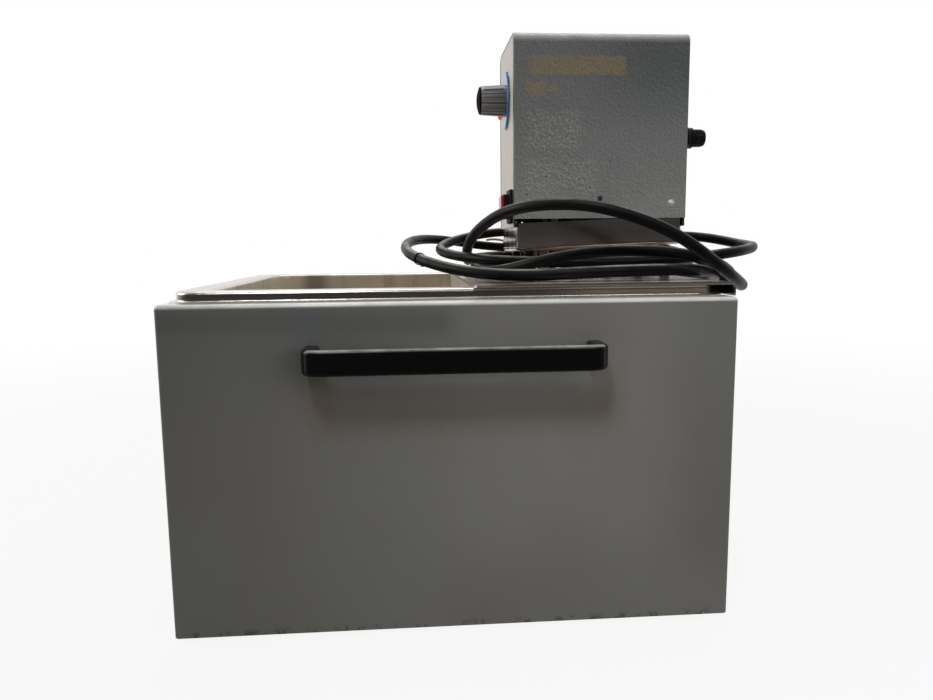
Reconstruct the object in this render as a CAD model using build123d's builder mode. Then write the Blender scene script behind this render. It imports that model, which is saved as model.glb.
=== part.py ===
from build123d import *
import os
from math import atan2, cos, degrees, pi, radians, sin, sqrt

# A heated circulating bath: a painted sheet-steel casing with a stainless tank,
# and a circulator whose bridge plate lies across the right part of the tank's rim.
# Millimetres. X runs right, Y away from the front, Z up. The origin is on the floor,
# under the middle of the casing.

os.makedirs("parts", exist_ok=True)

# Gaps and overruns shared by many pieces
running_gap = 0.3
shaft_gap = 0.05
overrun = 5.0

# Casing
foot_height = 5.0
casing_width = 450.0
casing_depth = 380.0
casing_height = 264.0
casing_sheet = 1.2
casing_corner_radius = 4.0
casing_fold_radius = 3.5

# Floor tray, feet and their fasteners
floor_sheet = 1.2
floor_lip_height = 16.0
foot_radius = 11.0
foot_tip_radius = 9.0
foot_inset = 34.0
foot_recess_radius = 5.0
foot_recess_depth = 2.6
foot_screw_radius = 2.0
foot_screw_head_radius = 3.8
foot_screw_head_height = 1.8
foot_nut_across_flats = 7.0
foot_nut_height = 3.2

# Tank
rim_side_inset = 8.75
rim_front_inset = 12.5
rim_height = 9.0
rim_ledge = 22.0
rim_flange = 5.0
rim_corner_radius = 20.0
rim_fold_radius = 3.0
rim_foot_radius = 1.5
tank_sheet = 1.0
tank_depth = 200.0
tank_corner_radius = 22.0
tank_floor_radius = 16.0
tank_seat = 1.0

# Handles
handle_width = 230.0
handle_height = 19.4
handle_reach = 32.0
handle_strap = 9.0
handle_leg = 12.0
handle_drop = 42.0
handle_corner_radius = 14.0
handle_inner_radius = 6.0
handle_edge_radius = 3.0
handle_screw_radius = 2.5
handle_screw_head_radius = 4.6
handle_screw_head_height = 2.6
handle_screw_length = 14.0

# Bridge plate
plate_sheet = 2.0
plate_length = 208.0
plate_right_inset = 1.0
plate_depth = 370.0
plate_corner_radius = 6.0
plate_bend_radius = 4.0
plate_flange_gap = 0.5
baffle_reach = 40.0
baffle_side_gap = 2.5

# Head: pan, cover and end panels
head_overhang = 5.0
head_width = 164.5
head_depth = 105.0
neck_height = 24.0
pan_sheet = 1.5
pan_height = 26.7
pan_rise = 6.0
pan_inset = 2.0
pan_edge_radius = 4.0
cover_gap = 4.2
cover_height = 168.9
cover_sheet = 1.5
cover_fold_radius = 9.0
panel_sheet = 2.0
panel_gap = 0.4
panel_drop = 7.7
panel_flange_sheet = 1.5
panel_flange_reach = 15.0
cover_screw_inset = 14.2
cover_screw_height = 13.7
cover_screw_radius = 1.75
cover_screw_dome_radius = 3.6
cover_screw_dome_height = 2.4
cover_screw_length = 7.0

# Posts between the bridge plate and the pan
post_radius = 4.75
post_spacing_x = 133.0
post_spacing_y = 86.0
post_screw_radius = 2.0
post_screw_head_radius = 3.4
post_screw_head_height = 2.4
post_screw_length = 8.0

# Knob, its skirt, the dial and the thermostat behind them
knob_rise = 116.3
knob_back_gap = 0.9
knob_skirt_radius = 27.3
knob_skirt_sheet = 1.8
knob_skirt_bevel = 0.5
knob_base_radius = 15.0
knob_tip_radius = 13.5
knob_length = 23.2
knob_cap_height = 4.0
knob_flutes = 10
knob_flute_radius = 1.6
knob_flute_depth = 1.1
knob_flute_margin = 1.6
knob_edge_radius = 0.6
dial_radius = 28.2
dial_bore_radius = 9.5
dial_sheet = 0.6
bush_radius = 4.8
bush_reach = 2.5
thermostat_nut_radius = 7.6
thermostat_nut_height = 1.8
thermostat_radius = 21.0
thermostat_length = 24.0
thermostat_edge_radius = 2.0
knob_shaft_radius = 3.0
knob_shaft_depth = 14.0

# Pilot lamp
lamp_y = 31.5
lamp_rise = 107.3
lamp_lens_radius = 4.2
lamp_lens_reach = 5.0
lamp_body_radius = 3.4
lamp_body_length = 20.0

# Rocker switch
switch_y = -31.5
switch_rise = 12.0
switch_width = 25.0
switch_tall = 32.0
switch_bezel = 3.0
switch_bezel_radius = 2.5
switch_collar_width = 20.0
switch_collar_tall = 23.0
switch_collar_reach = 5.3
switch_collar_wall = 1.5
switch_body_inset = 2.0
switch_body_length = 18.0
rocker_proud = 3.4
rocker_dip_angle = 5.0
rocker_pivot_depth = 3.0
rocker_pin_radius = 1.5
rocker_side_gap = 0.4
rocker_belly = 4.0

# Fuse holder
fuse_y = -40.0
fuse_rise = 75.2
fuse_flange_radius = 11.0
fuse_flange_reach = 4.0
fuse_collar_radius = 9.6
fuse_collar_reach = 4.0
fuse_bevel = 1.2
fuse_body_radius = 6.5
fuse_body_length = 30.0
fuse_cap_radius = 8.2
fuse_cap_reach = 12.0
fuse_cap_edge_radius = 3.0
fuse_cap_ribs = 16
fuse_cap_rib_radius = 0.7
fuse_cap_stem_radius = 4.6
fuse_cap_stem_length = 9.0
fuse_radius = 2.6
fuse_length = 20.0
fuse_tip_length = 5.0
fuse_tip_radius = 2.9

# Vent slots in the rear panel
vent_count = 7
vent_length = 46.0
vent_width = 3.0
vent_pitch = 7.0
vent_rise = 104.8
vent_y = 20.0

# Motor
motor_inset = 69.5
stator_rise = 40.7
stator_back = 31.0
stator_arm = 44.0
limb_width = 10.0
window_width = 12.0
window_depth = 38.0
stator_depth = 58.0
stator_stack = 28.0
stator_edge_radius = 3.0
coil_wall = 6.0
coil_edge_radius = 3.0
rotor_radius = 16.0
rotor_gap = 0.6
rotor_overhang = 2.0
pillar_radius = 3.0
pillar_spacing_x = 50.0
pillar_spacing_y = 46.0
drive_shaft_radius = 4.0
pan_shaft_clearance = 4.0
fan_rise = 13.0
fan_radius = 22.0
fan_hub_radius = 9.0
fan_hub_height = 9.0
fan_blades = 6
fan_blade_sheet = 1.5
fan_blade_angle = 35.0
fan_blade_width = 10.0

# Pump
pump_depth = 160.0
column_radius = 16.0
column_sheet = 2.0
column_flange_radius = 24.0
column_flange_sheet = 3.0
pump_radius = 31.0
pump_stack = 24.0
pump_wall = 2.0
pump_inlet_radius = 12.0
pump_outlet_width = 12.0
pump_outlet_reach = 8.0
outlet_y = -18.0
impeller_radius = 25.0
impeller_sheet = 2.0
impeller_hub_radius = 8.0
impeller_vanes = 6
impeller_vane_height = 10.0
impeller_vane_sheet = 2.0
impeller_floor_gap = 3.0
impeller_vane_angle = 35.0
bush_height = 8.0

# Heater and temperature probe
heater_tube_radius = 4.0
heater_inset = 32.5
heater_spread = 70.0
heater_rise = 24.0
heater_bend_radius = 22.0
heater_top_reach = 12.0
heater_nut_across_flats = 17.0
heater_nut_height = 4.0
probe_radius = 3.0
probe_inset = 110.5
probe_y = 26.0
probe_rise = 72.0
probe_nut_across_flats = 12.0
probe_nut_height = 4.0
probe_top_reach = 14.0
probe_tip_share = 0.9

# Electrics on a standing plate inside the head
component_sheet = 1.5
component_y = 44.0
component_inset = 22.5
component_width = 118.0
component_drop = 36.1
component_edge_radius = 4.0
board_sheet = 1.6
board_width = 84.0
board_tall = 96.0
board_inset = 66.5
board_rise = 74.8
board_standoff = 5.0
board_pin_radius = 2.0
board_pin_inset = 6.0
relay_width = 20.0
relay_tall = 16.0
relay_reach = 12.0
capacitor_radius = 6.0
capacitor_reach = 16.0
transformer_width = 28.0
transformer_tall = 44.0
transformer_reach = 26.0
transformer_coil_tall = 30.0
transformer_coil_reach = 7.0
transformer_inset = 126.5
transformer_rise = 89.8
terminal_width = 56.0
terminal_tall = 14.0
terminal_reach = 14.0
terminal_rise = 23.7
terminal_ways = 6
terminal_screw_radius = 2.6
terminal_screw_depth = 3.0

# Strain relief of the mains lead
lead_radius = 5.0
relief_y = 32.0
relief_drop = 5.0
relief_flange_radius = 8.0
relief_flange_sheet = 2.0
relief_root_radius = 7.0
relief_tip_radius = 5.4
relief_length = 22.0
relief_body_radius = 5.4
relief_body_length = 10.0

# Mains lead, wound in four turns round the neck of the head. Each turn has a station at its right,
# near, left and far side: the place of the lead's middle, then its heading and its climb in degrees.
lead_turns = [
    [(306, -26, 308, 262, -3), (165, -92, 305, 179, -4), (3, 26, 305, 111, 9), (125, 134, 325, 10, -4)],
    [(264, -40, 289, 282, -14), (160, -130, 305, 168, 1), (33, -5, 288, 98, 5), (120, 87, 291, 18, 12)],
    [(257, -60, 278, 255, 10), (75, -135, 286.5, 170, -2), (-39, 16, 312, 89, 13), (127, 120, 308, 349, 2)],
    [(268, -93, 273, 257, -3), (97, -146, 344, 171, 4), (16, -40, 302, 99, -22), (95, 150, 299, 10, 0)],
]
lead_check_count = 14
lead_gap_count = 6

# Tie round the lead behind the head, and the plug on the lead's end
tie_arc_count = 21
tie_share = 0.35
tie_sheet = 1.2
tie_width = 4.5
tie_tail = 24.0
plug_neck_tip_radius = 5.8
plug_neck_root_radius = 10.0
plug_neck_length = 26.0
plug_shoulder = 5.0
plug_radius = 18.4
plug_length = 20.0
plug_edge_radius = 2.0
pin_radius = 2.4
pin_length = 19.0
pin_spacing = 19.0
pin_root = 8.0

# Places worked out from the sizes above
casing_top = foot_height + casing_height
rim_top = casing_top + rim_height
rim_width = casing_width - 2 * rim_side_inset
rim_depth = casing_depth - 2 * rim_front_inset
opening_width = rim_width - 2 * rim_ledge
opening_depth = rim_depth - 2 * rim_ledge
tank_bottom = rim_top - tank_depth
mouth_width = opening_width + 2 * (tank_sheet + tank_seat)
mouth_depth = opening_depth + 2 * (tank_sheet + tank_seat)
casing_inner_width = casing_width - 2 * casing_sheet
casing_inner_depth = casing_depth - 2 * casing_sheet
foot_spacing_x = casing_width - 2 * foot_inset
foot_spacing_y = casing_depth - 2 * foot_inset
handle_screw_x = (handle_width - handle_leg) / 2
handle_middle_height = casing_top - handle_drop
plate_bottom = rim_top + running_gap
plate_top = plate_bottom + plate_sheet
plate_right = casing_width / 2 - plate_right_inset
plate_left = plate_right - plate_length
head_right = casing_width / 2 + head_overhang
head_left = head_right - head_width
head_middle = (head_left + head_right) / 2
pan_left = head_left + panel_sheet + running_gap
pan_right = head_right - panel_sheet - running_gap
pan_length = pan_right - pan_left
pan_depth = head_depth - 2 * pan_inset
pan_bottom = plate_top + neck_height
cover_bottom = pan_bottom + pan_height + cover_gap
head_top = cover_bottom + cover_height
panel_bottom = cover_bottom - panel_drop
panel_depth = head_depth - 2 * (cover_sheet + panel_gap)
panel_top = head_top - cover_sheet - panel_gap
panel_fold_radius = cover_fold_radius - cover_sheet - panel_gap
knob_height = cover_bottom + knob_rise
lamp_height = cover_bottom + lamp_rise
switch_height = cover_bottom + switch_rise
fuse_height = cover_bottom + fuse_rise
vent_height = cover_bottom + vent_rise
motor_x = head_left + motor_inset
stator_bottom = pan_bottom + stator_rise
fan_height = stator_bottom + stator_stack + fan_rise
heater_x = head_left + heater_inset
heater_bottom = tank_bottom + heater_rise
probe_x = head_left + probe_inset
probe_bottom = tank_bottom + probe_rise
component_left = head_left + component_inset
component_top = head_top - component_drop
board_x = head_left + board_inset
board_height = cover_bottom + board_rise
transformer_x = head_left + transformer_inset
transformer_height = cover_bottom + transformer_rise
terminal_height = pan_bottom + terminal_rise
switch_body_width = switch_width - 2 * switch_body_inset
switch_body_tall = switch_tall - 2 * switch_body_inset


def pan_floor(x):
    """Height of the pan's underside at a place along the head: the pan climbs to the right."""
    return pan_bottom + pan_rise * (x - pan_left) / pan_length


# Casing: four walls and an inward top flange, folded from one sheet
with BuildPart() as casing_void:
    with BuildSketch(Plane.XY.offset(foot_height)):
        RectangleRounded(casing_inner_width, casing_inner_depth, casing_corner_radius - casing_sheet)
    extrude(amount=casing_height - casing_sheet)
    fillet(casing_void.faces().sort_by(Axis.Z)[-1].edges(), radius=casing_fold_radius - casing_sheet)

with BuildPart() as casing_shell:
    with BuildSketch(Plane.XY.offset(foot_height)):
        RectangleRounded(casing_width, casing_depth, casing_corner_radius)
    extrude(amount=casing_height)
    fillet(casing_shell.faces().sort_by(Axis.Z)[-1].edges(), radius=casing_fold_radius)
    add(casing_void.part, mode=Mode.SUBTRACT)
    with BuildSketch(Plane.XY.offset(casing_top - casing_sheet)):
        RectangleRounded(mouth_width, mouth_depth, tank_corner_radius + tank_seat)
    extrude(amount=casing_sheet, mode=Mode.SUBTRACT)
    with BuildSketch(Plane.XZ):
        with Locations((-handle_screw_x, handle_middle_height), (handle_screw_x, handle_middle_height)):
            Circle(handle_screw_radius + shaft_gap)
    extrude(amount=casing_depth, both=True, mode=Mode.SUBTRACT)
casing_shell.part.label = "casing_shell"
export_step(casing_shell.part, "parts/casing_shell.step")

# Floor tray inside the walls, open upward
with BuildPart() as base_plate:
    with BuildSketch(Plane.XY.offset(foot_height)):
        RectangleRounded(casing_inner_width - 2 * running_gap, casing_inner_depth - 2 * running_gap,
                         casing_corner_radius - casing_sheet)
    extrude(amount=floor_lip_height)
    offset(amount=-floor_sheet, openings=base_plate.faces().sort_by(Axis.Z)[-1])
    with BuildSketch(Plane.XY.offset(foot_height)):
        with GridLocations(foot_spacing_x, foot_spacing_y, 2, 2):
            Circle(foot_screw_radius + shaft_gap)
    extrude(amount=floor_sheet, mode=Mode.SUBTRACT)
base_plate.part.label = "base_plate"
export_step(base_plate.part, "parts/base_plate.step")

# Rubber feet with a recess for the screw's head
with BuildPart() as rubber_feet:
    with GridLocations(foot_spacing_x, foot_spacing_y, 2, 2):
        Cone(foot_tip_radius, foot_radius, foot_height, align=(Align.CENTER, Align.CENTER, Align.MIN))
        Cylinder(foot_recess_radius, foot_recess_depth,
                 align=(Align.CENTER, Align.CENTER, Align.MIN), mode=Mode.SUBTRACT)
        Cylinder(foot_screw_radius + shaft_gap, foot_height,
                 align=(Align.CENTER, Align.CENTER, Align.MIN), mode=Mode.SUBTRACT)
rubber_feet.part.label = "rubber_feet"
export_step(rubber_feet.part, "parts/rubber_feet.step")

feet_screw_head = foot_recess_depth - foot_screw_head_height
feet_screw_tip = foot_height + floor_sheet + foot_nut_height + foot_screw_radius
with BuildPart() as feet_screws:
    with BuildSketch(Plane.XY.offset(feet_screw_head)):
        with GridLocations(foot_spacing_x, foot_spacing_y, 2, 2):
            Circle(foot_screw_head_radius)
    extrude(amount=foot_screw_head_height)
    chamfer(feet_screws.faces().sort_by(Axis.Z)[:4].edges(), length=foot_screw_head_height / 3)
    with BuildSketch(Plane.XY.offset(foot_recess_depth)):
        with GridLocations(foot_spacing_x, foot_spacing_y, 2, 2):
            Circle(foot_screw_radius)
    extrude(amount=feet_screw_tip - foot_recess_depth)
feet_screws.part.label = "feet_screws"
export_step(feet_screws.part, "parts/feet_screws.step")

with BuildPart() as feet_nuts:
    with BuildSketch(Plane.XY.offset(foot_height + floor_sheet)):
        with GridLocations(foot_spacing_x, foot_spacing_y, 2, 2):
            RegularPolygon(foot_nut_across_flats / 2, side_count=6, major_radius=False)
            Circle(foot_screw_radius + shaft_gap, mode=Mode.SUBTRACT)
    extrude(amount=foot_nut_height)
feet_nuts.part.label = "feet_nuts"
export_step(feet_nuts.part, "parts/feet_nuts.step")


# Tank: one pressed sheet, cut as the space under its upper face less the space under its lower face
def tank_form(inset):
    """The space under the pressed sheet's face, where inset is the depth of that face in the sheet."""
    block_bottom = tank_bottom - overrun - inset
    with BuildPart() as form:
        with BuildSketch(Plane.XY.offset(block_bottom)):
            RectangleRounded(rim_width + 2 * (rim_flange + inset), rim_depth + 2 * (rim_flange + inset),
                             rim_corner_radius + rim_flange + inset)
        extrude(amount=casing_top + tank_sheet - inset - block_bottom)
        with BuildSketch(Plane.XY.offset(casing_top)):
            RectangleRounded(rim_width - 2 * inset, rim_depth - 2 * inset, rim_corner_radius - inset)
        extrude(amount=rim_height - inset)
        with BuildSketch(Plane.XY.offset(rim_top - inset)):
            RectangleRounded(opening_width + 2 * inset, opening_depth + 2 * inset, tank_corner_radius + inset)
        extrude(amount=-(tank_depth - tank_sheet), mode=Mode.SUBTRACT)
        level_faces = form.faces().filter_by(Axis.Z).sort_by(Axis.Z)
        fillet(level_faces[-1].edges(), radius=rim_fold_radius - inset)
        level_faces = form.faces().filter_by(Axis.Z).sort_by(Axis.Z)
        fillet(level_faces[1].edges(), radius=tank_floor_radius + inset)
        level_faces = form.faces().filter_by(Axis.Z).sort_by(Axis.Z)
        fillet(level_faces[2].inner_wires()[0].edges(), radius=rim_foot_radius + inset)
    return form.part


with BuildPart() as tank:
    add(tank_form(0))
    add(tank_form(tank_sheet), mode=Mode.SUBTRACT)
tank.part.label = "tank"
export_step(tank.part, "parts/tank.step")

# Insulation between the tank and the casing
insulation_bottom = foot_height + floor_sheet + foot_nut_height + foot_screw_radius + running_gap
insulation_top = casing_top - casing_sheet - running_gap
insulation_margin = floor_sheet + 2 * running_gap
with BuildPart() as tank_insulation:
    with BuildSketch(Plane.XY.offset(insulation_bottom)):
        RectangleRounded(casing_inner_width - 2 * insulation_margin,
                         casing_inner_depth - 2 * insulation_margin, casing_corner_radius)
    extrude(amount=insulation_top - insulation_bottom)
    with BuildSketch(Plane.XY.offset(tank_bottom - running_gap)):
        RectangleRounded(opening_width + 2 * (tank_sheet + running_gap),
                         opening_depth + 2 * (tank_sheet + running_gap), tank_corner_radius)
    extrude(amount=tank_depth, mode=Mode.SUBTRACT)
    with BuildSketch(Plane.XZ):
        with Locations((-handle_screw_x, handle_middle_height), (handle_screw_x, handle_middle_height)):
            Circle(handle_screw_head_radius + running_gap)
    extrude(amount=casing_depth, both=True, mode=Mode.SUBTRACT)
tank_insulation.part.label = "tank_insulation"
export_step(tank_insulation.part, "parts/tank_insulation.step")


# Handles: a moulded strap on two legs, its edges rounded and its legs tapped for screws
def handle(side):
    """One handle on the front wall (side -1) or the back wall (side 1)."""
    wall = side * casing_depth / 2
    with BuildPart() as grip:
        with BuildSketch(Plane.XY.offset(handle_middle_height - handle_height / 2)):
            with Locations((0, wall)):
                RectangleRounded(handle_width, 2 * handle_reach, handle_corner_radius)
                RectangleRounded(handle_width - 2 * handle_leg, 2 * (handle_reach - handle_strap),
                                 handle_inner_radius, mode=Mode.SUBTRACT)
            with Locations((0, wall - side * handle_reach / 2)):
                Rectangle(handle_width, handle_reach, mode=Mode.SUBTRACT)
        extrude(amount=handle_height)
        rounded = grip.edges().filter_by(lambda edge: abs(edge.center().Y - wall) > handle_edge_radius)
        fillet(rounded, radius=handle_edge_radius)
        with BuildSketch(Plane.XZ.offset(-wall)):
            with Locations((-handle_screw_x, handle_middle_height), (handle_screw_x, handle_middle_height)):
                Circle(handle_screw_radius + shaft_gap)
        extrude(amount=-side * handle_screw_length, mode=Mode.SUBTRACT)
    return grip


front_handle = handle(-1)
front_handle.part.label = "front_handle"
export_step(front_handle.part, "parts/front_handle.step")

rear_handle = handle(1)
rear_handle.part.label = "rear_handle"
export_step(rear_handle.part, "parts/rear_handle.step")

# Handle screws, driven outward from inside the walls
screw_seat = casing_depth / 2 - casing_sheet
with BuildPart() as handle_screws:
    with BuildSketch(Plane.XZ):
        with Locations((-handle_screw_x, handle_middle_height), (handle_screw_x, handle_middle_height)):
            Circle(handle_screw_radius)
    extrude(amount=casing_depth / 2 + handle_screw_length - overrun, both=True)
    with BuildSketch(Plane.XZ):
        with Locations((-handle_screw_x, handle_middle_height), (handle_screw_x, handle_middle_height)):
            Circle(handle_screw_head_radius)
    extrude(amount=screw_seat, both=True)
    with BuildSketch(Plane.XZ):
        Rectangle(casing_width, 2 * casing_top)
    extrude(amount=screw_seat - handle_screw_head_height, both=True, mode=Mode.SUBTRACT)
handle_screws.part.label = "handle_screws"
export_step(handle_screws.part, "parts/handle_screws.step")

# Bridge plate: a sheet across the rim, with a baffle down into the tank and a flange outside the rim
flange_bottom = casing_top + plate_flange_gap
baffle_depth = opening_depth - 2 * baffle_side_gap
with BuildPart() as bridge_plate:
    with BuildSketch(Plane.XZ):
        with BuildLine():
            Polyline((plate_left, plate_bottom), (plate_left, plate_top), (plate_right, plate_top),
                     (plate_right, flange_bottom), (plate_right - plate_sheet, flange_bottom),
                     (plate_right - plate_sheet, plate_bottom), (plate_left, plate_bottom))
        make_face()
    extrude(amount=plate_depth / 2, both=True)
    outer_bend = bridge_plate.edges().filter_by(Axis.Y).group_by(Axis.X)[-1].sort_by(Axis.Z)[-1]
    fillet(outer_bend, radius=plate_bend_radius)
    inner_bend = bridge_plate.edges().filter_by(Axis.Y).filter_by(
        lambda edge: abs(edge.center().X - plate_right + plate_sheet) < shaft_gap).sort_by(Axis.Z)[-1]
    fillet(inner_bend, radius=plate_bend_radius - plate_sheet)
    left_corners = bridge_plate.edges().filter_by(Axis.Z).group_by(Axis.X)[0]
    fillet(left_corners, radius=plate_corner_radius)
    with BuildSketch(Plane.XY.offset(plate_bottom - baffle_reach)):
        with Locations((plate_left + plate_sheet / 2, 0)):
            Rectangle(plate_sheet, baffle_depth)
    extrude(amount=baffle_reach)
    with BuildSketch(Plane.XY.offset(plate_bottom)):
        with Locations((motor_x, 0)):
            Circle(column_radius + shaft_gap)
        with Locations((heater_x, -heater_spread / 2), (heater_x, heater_spread / 2)):
            Circle(heater_tube_radius + shaft_gap)
        with Locations((probe_x, probe_y)):
            Circle(probe_radius + shaft_gap)
    extrude(amount=plate_sheet, mode=Mode.SUBTRACT)
bridge_plate.part.label = "bridge_plate"
export_step(bridge_plate.part, "parts/bridge_plate.step")

# Posts: each stands on the plate and ends under the climbing pan
post_places = [
    (head_middle + i * post_spacing_x / 2, j * post_spacing_y / 2) for i in (-1, 1) for j in (-1, 1)
]
with BuildPart() as support_posts:
    for x, y in post_places:
        with BuildSketch(Plane.XY.offset(plate_top)):
            with Locations((x, y)):
                Circle(post_radius)
                Circle(post_screw_radius + shaft_gap, mode=Mode.SUBTRACT)
        extrude(amount=pan_floor(x - post_radius) - plate_top)
support_posts.part.label = "support_posts"
export_step(support_posts.part, "parts/support_posts.step")

# Screws down through the pan into the posts, which are welded to the plate
with BuildPart() as post_screws:
    for x, y in post_places:
        pan_seat = pan_floor(x + post_screw_head_radius) + pan_sheet + shaft_gap
        with BuildSketch(Plane.XY.offset(pan_seat)):
            with Locations((x, y)):
                Circle(post_screw_head_radius)
        extrude(amount=post_screw_head_height)
        with BuildSketch(Plane.XY.offset(pan_seat)):
            with Locations((x, y)):
                Circle(post_screw_radius)
        extrude(amount=-post_screw_length)
post_screws.part.label = "post_screws"
export_step(post_screws.part, "parts/post_screws.step")


# Head pan: a tray whose floor and rim climb to the right
def pan_block(inset, top):
    """The pan's outer block for inset 0, or the space inside its sheet, up to a height above its rim."""
    left = pan_left + inset
    right = pan_right - inset
    with BuildPart() as block:
        with BuildSketch(Plane.XZ):
            with BuildLine():
                Polyline((left, pan_floor(left) + inset), (right, pan_floor(right) + inset),
                         (right, pan_floor(right) + pan_height + top),
                         (left, pan_floor(left) + pan_height + top), (left, pan_floor(left) + inset))
            make_face()
        extrude(amount=pan_depth / 2 - inset, both=True)
        fillet(block.edges().filter_by(Axis.Z), radius=pan_edge_radius - inset)
        fillet(block.faces().sort_by(Axis.Z)[0].edges(), radius=pan_edge_radius - inset)
    return block.part


# Strain relief's place in the pan's right wall
relief_height = pan_floor(pan_right) + pan_height / 2 - relief_drop

with BuildPart() as head_base_pan:
    add(pan_block(0, 0))
    add(pan_block(pan_sheet, overrun), mode=Mode.SUBTRACT)
    with BuildSketch(Plane.XY.offset(pan_bottom)):
        with Locations((motor_x, 0)):
            Circle(drive_shaft_radius + pan_shaft_clearance)
        with Locations((heater_x, -heater_spread / 2), (heater_x, heater_spread / 2)):
            Circle(heater_tube_radius + running_gap)
        with Locations((probe_x, probe_y)):
            Circle(probe_radius + running_gap)
        with Locations(*post_places):
            Circle(post_screw_radius + shaft_gap)
    extrude(amount=pan_rise + 2 * pan_sheet, mode=Mode.SUBTRACT)
    with BuildSketch(Plane.YZ.offset(pan_right - pan_edge_radius)):
        with Locations((relief_y, relief_height)):
            Circle(relief_body_radius + shaft_gap)
    extrude(amount=pan_edge_radius, mode=Mode.SUBTRACT)
head_base_pan.part.label = "head_base_pan"
export_step(head_base_pan.part, "parts/head_base_pan.step")

# Cover: one sheet folded over both sides and the top of the head
cover_screw_z = cover_bottom + cover_screw_height
cover_screw_places = [
    (head_left + cover_screw_inset, cover_screw_z), (head_right - cover_screw_inset, cover_screw_z)
]
with BuildPart() as cover_void:
    with BuildSketch(Plane.YZ.offset(head_left - overrun)):
        with Locations((0, cover_bottom - overrun)):
            Rectangle(head_depth - 2 * cover_sheet, cover_height + overrun - cover_sheet,
                      align=(Align.CENTER, Align.MIN))
    extrude(amount=head_width + 2 * overrun)
    fillet(cover_void.edges().filter_by(Axis.X).group_by(Axis.Z)[-1], radius=cover_fold_radius - cover_sheet)

with BuildPart() as head_cover:
    with BuildSketch(Plane.YZ.offset(head_left)):
        with Locations((0, cover_bottom)):
            Rectangle(head_depth, cover_height, align=(Align.CENTER, Align.MIN))
    extrude(amount=head_width)
    fillet(head_cover.edges().filter_by(Axis.X).group_by(Axis.Z)[-1], radius=cover_fold_radius)
    add(cover_void.part, mode=Mode.SUBTRACT)
    with BuildSketch(Plane.XZ):
        with Locations(*cover_screw_places):
            Circle(cover_screw_radius + shaft_gap)
    extrude(amount=head_depth, both=True, mode=Mode.SUBTRACT)
head_cover.part.label = "head_cover"
export_step(head_cover.part, "parts/head_cover.step")


# End panels: a plate inside the end of the cover, with two side flanges for the cover's screws
def end_panel(face, inward, flange_bottom):
    """The panel whose outer face is at x = face, with its flanges on the inward side (1 or -1)."""
    flange_top = panel_top - panel_fold_radius
    with BuildPart() as panel:
        with BuildSketch(Plane.YZ.offset(face)) as outline:
            with Locations((0, panel_bottom)):
                Rectangle(panel_depth, panel_top - panel_bottom, align=(Align.CENTER, Align.MIN))
            fillet(outline.vertices().group_by(Axis.Y)[-1], radius=panel_fold_radius)
        extrude(amount=inward * panel_sheet)
        with BuildSketch(Plane.YZ.offset(face + inward * panel_sheet)):
            for side in (-1, 1):
                with Locations((side * (panel_depth - panel_flange_sheet) / 2, flange_bottom)):
                    Rectangle(panel_flange_sheet, flange_top - flange_bottom,
                              align=(Align.CENTER, Align.MIN))
        extrude(amount=inward * (panel_flange_reach - panel_sheet))
        with BuildSketch(Plane.XZ):
            with Locations(*cover_screw_places):
                Circle(cover_screw_radius + shaft_gap)
        extrude(amount=head_depth, both=True, mode=Mode.SUBTRACT)
    return panel.part


with BuildPart() as control_panel:
    add(end_panel(head_left, 1, cover_bottom))
    with BuildSketch(Plane.YZ.offset(head_left)):
        with Locations((0, knob_height)):
            Circle(bush_radius + shaft_gap)
        with Locations((lamp_y, lamp_height)):
            Circle(lamp_body_radius + shaft_gap)
        with Locations((switch_y, switch_height)):
            Rectangle(switch_body_width + 2 * running_gap, switch_body_tall + 2 * running_gap)
    extrude(amount=panel_sheet, mode=Mode.SUBTRACT)
control_panel.part.label = "control_panel"
export_step(control_panel.part, "parts/control_panel.step")

with BuildPart() as rear_panel:
    add(end_panel(head_right, -1, pan_floor(pan_right) + pan_height + running_gap))
    with BuildSketch(Plane.YZ.offset(head_right)):
        with Locations((fuse_y, fuse_height)):
            Circle(fuse_body_radius + shaft_gap)
        with Locations((vent_y, vent_height)):
            with GridLocations(0, vent_pitch, 1, vent_count):
                SlotOverall(vent_length, vent_width)
    extrude(amount=-panel_sheet, mode=Mode.SUBTRACT)
rear_panel.part.label = "rear_panel"
export_step(rear_panel.part, "parts/rear_panel.step")

# Cover screws: domed heads on both sides
def dome_middle(radius, height):
    """The point half-way up a dome's arc, measured from the middle of its flat base."""
    sphere = (radius ** 2 + height ** 2) / (2 * height)
    half_angle = atan2(radius, sphere - height) / 2
    return sphere * sin(half_angle), height - sphere + sphere * cos(half_angle)


with BuildPart() as dome_screw:
    with BuildSketch(Plane.XZ):
        with BuildLine():
            Polyline((0, cover_screw_dome_height), (0, -cover_screw_length),
                     (cover_screw_radius, -cover_screw_length), (cover_screw_radius, 0),
                     (cover_screw_dome_radius, 0))
            ThreePointArc((cover_screw_dome_radius, 0),
                          dome_middle(cover_screw_dome_radius, cover_screw_dome_height),
                          (0, cover_screw_dome_height))
        make_face()
    revolve(axis=Axis.Z)

with BuildPart() as cover_screws:
    for x, z in cover_screw_places:
        with Locations(Location((x, -head_depth / 2, z), (90, 0, 0)),
                       Location((x, head_depth / 2, z), (-90, 0, 0))):
            add(dome_screw.part)
cover_screws.part.label = "cover_screws"
export_step(cover_screws.part, "parts/cover_screws.step")

# Dial ring on the panel, round the knob's bush
with BuildPart() as dial_ring:
    with BuildSketch(Plane.YZ.offset(head_left)):
        with Locations((0, knob_height)):
            Circle(dial_radius)
            Circle(dial_bore_radius, mode=Mode.SUBTRACT)
    extrude(amount=-dial_sheet)
dial_ring.part.label = "dial_ring"
export_step(dial_ring.part, "parts/dial_ring.step")

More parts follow.
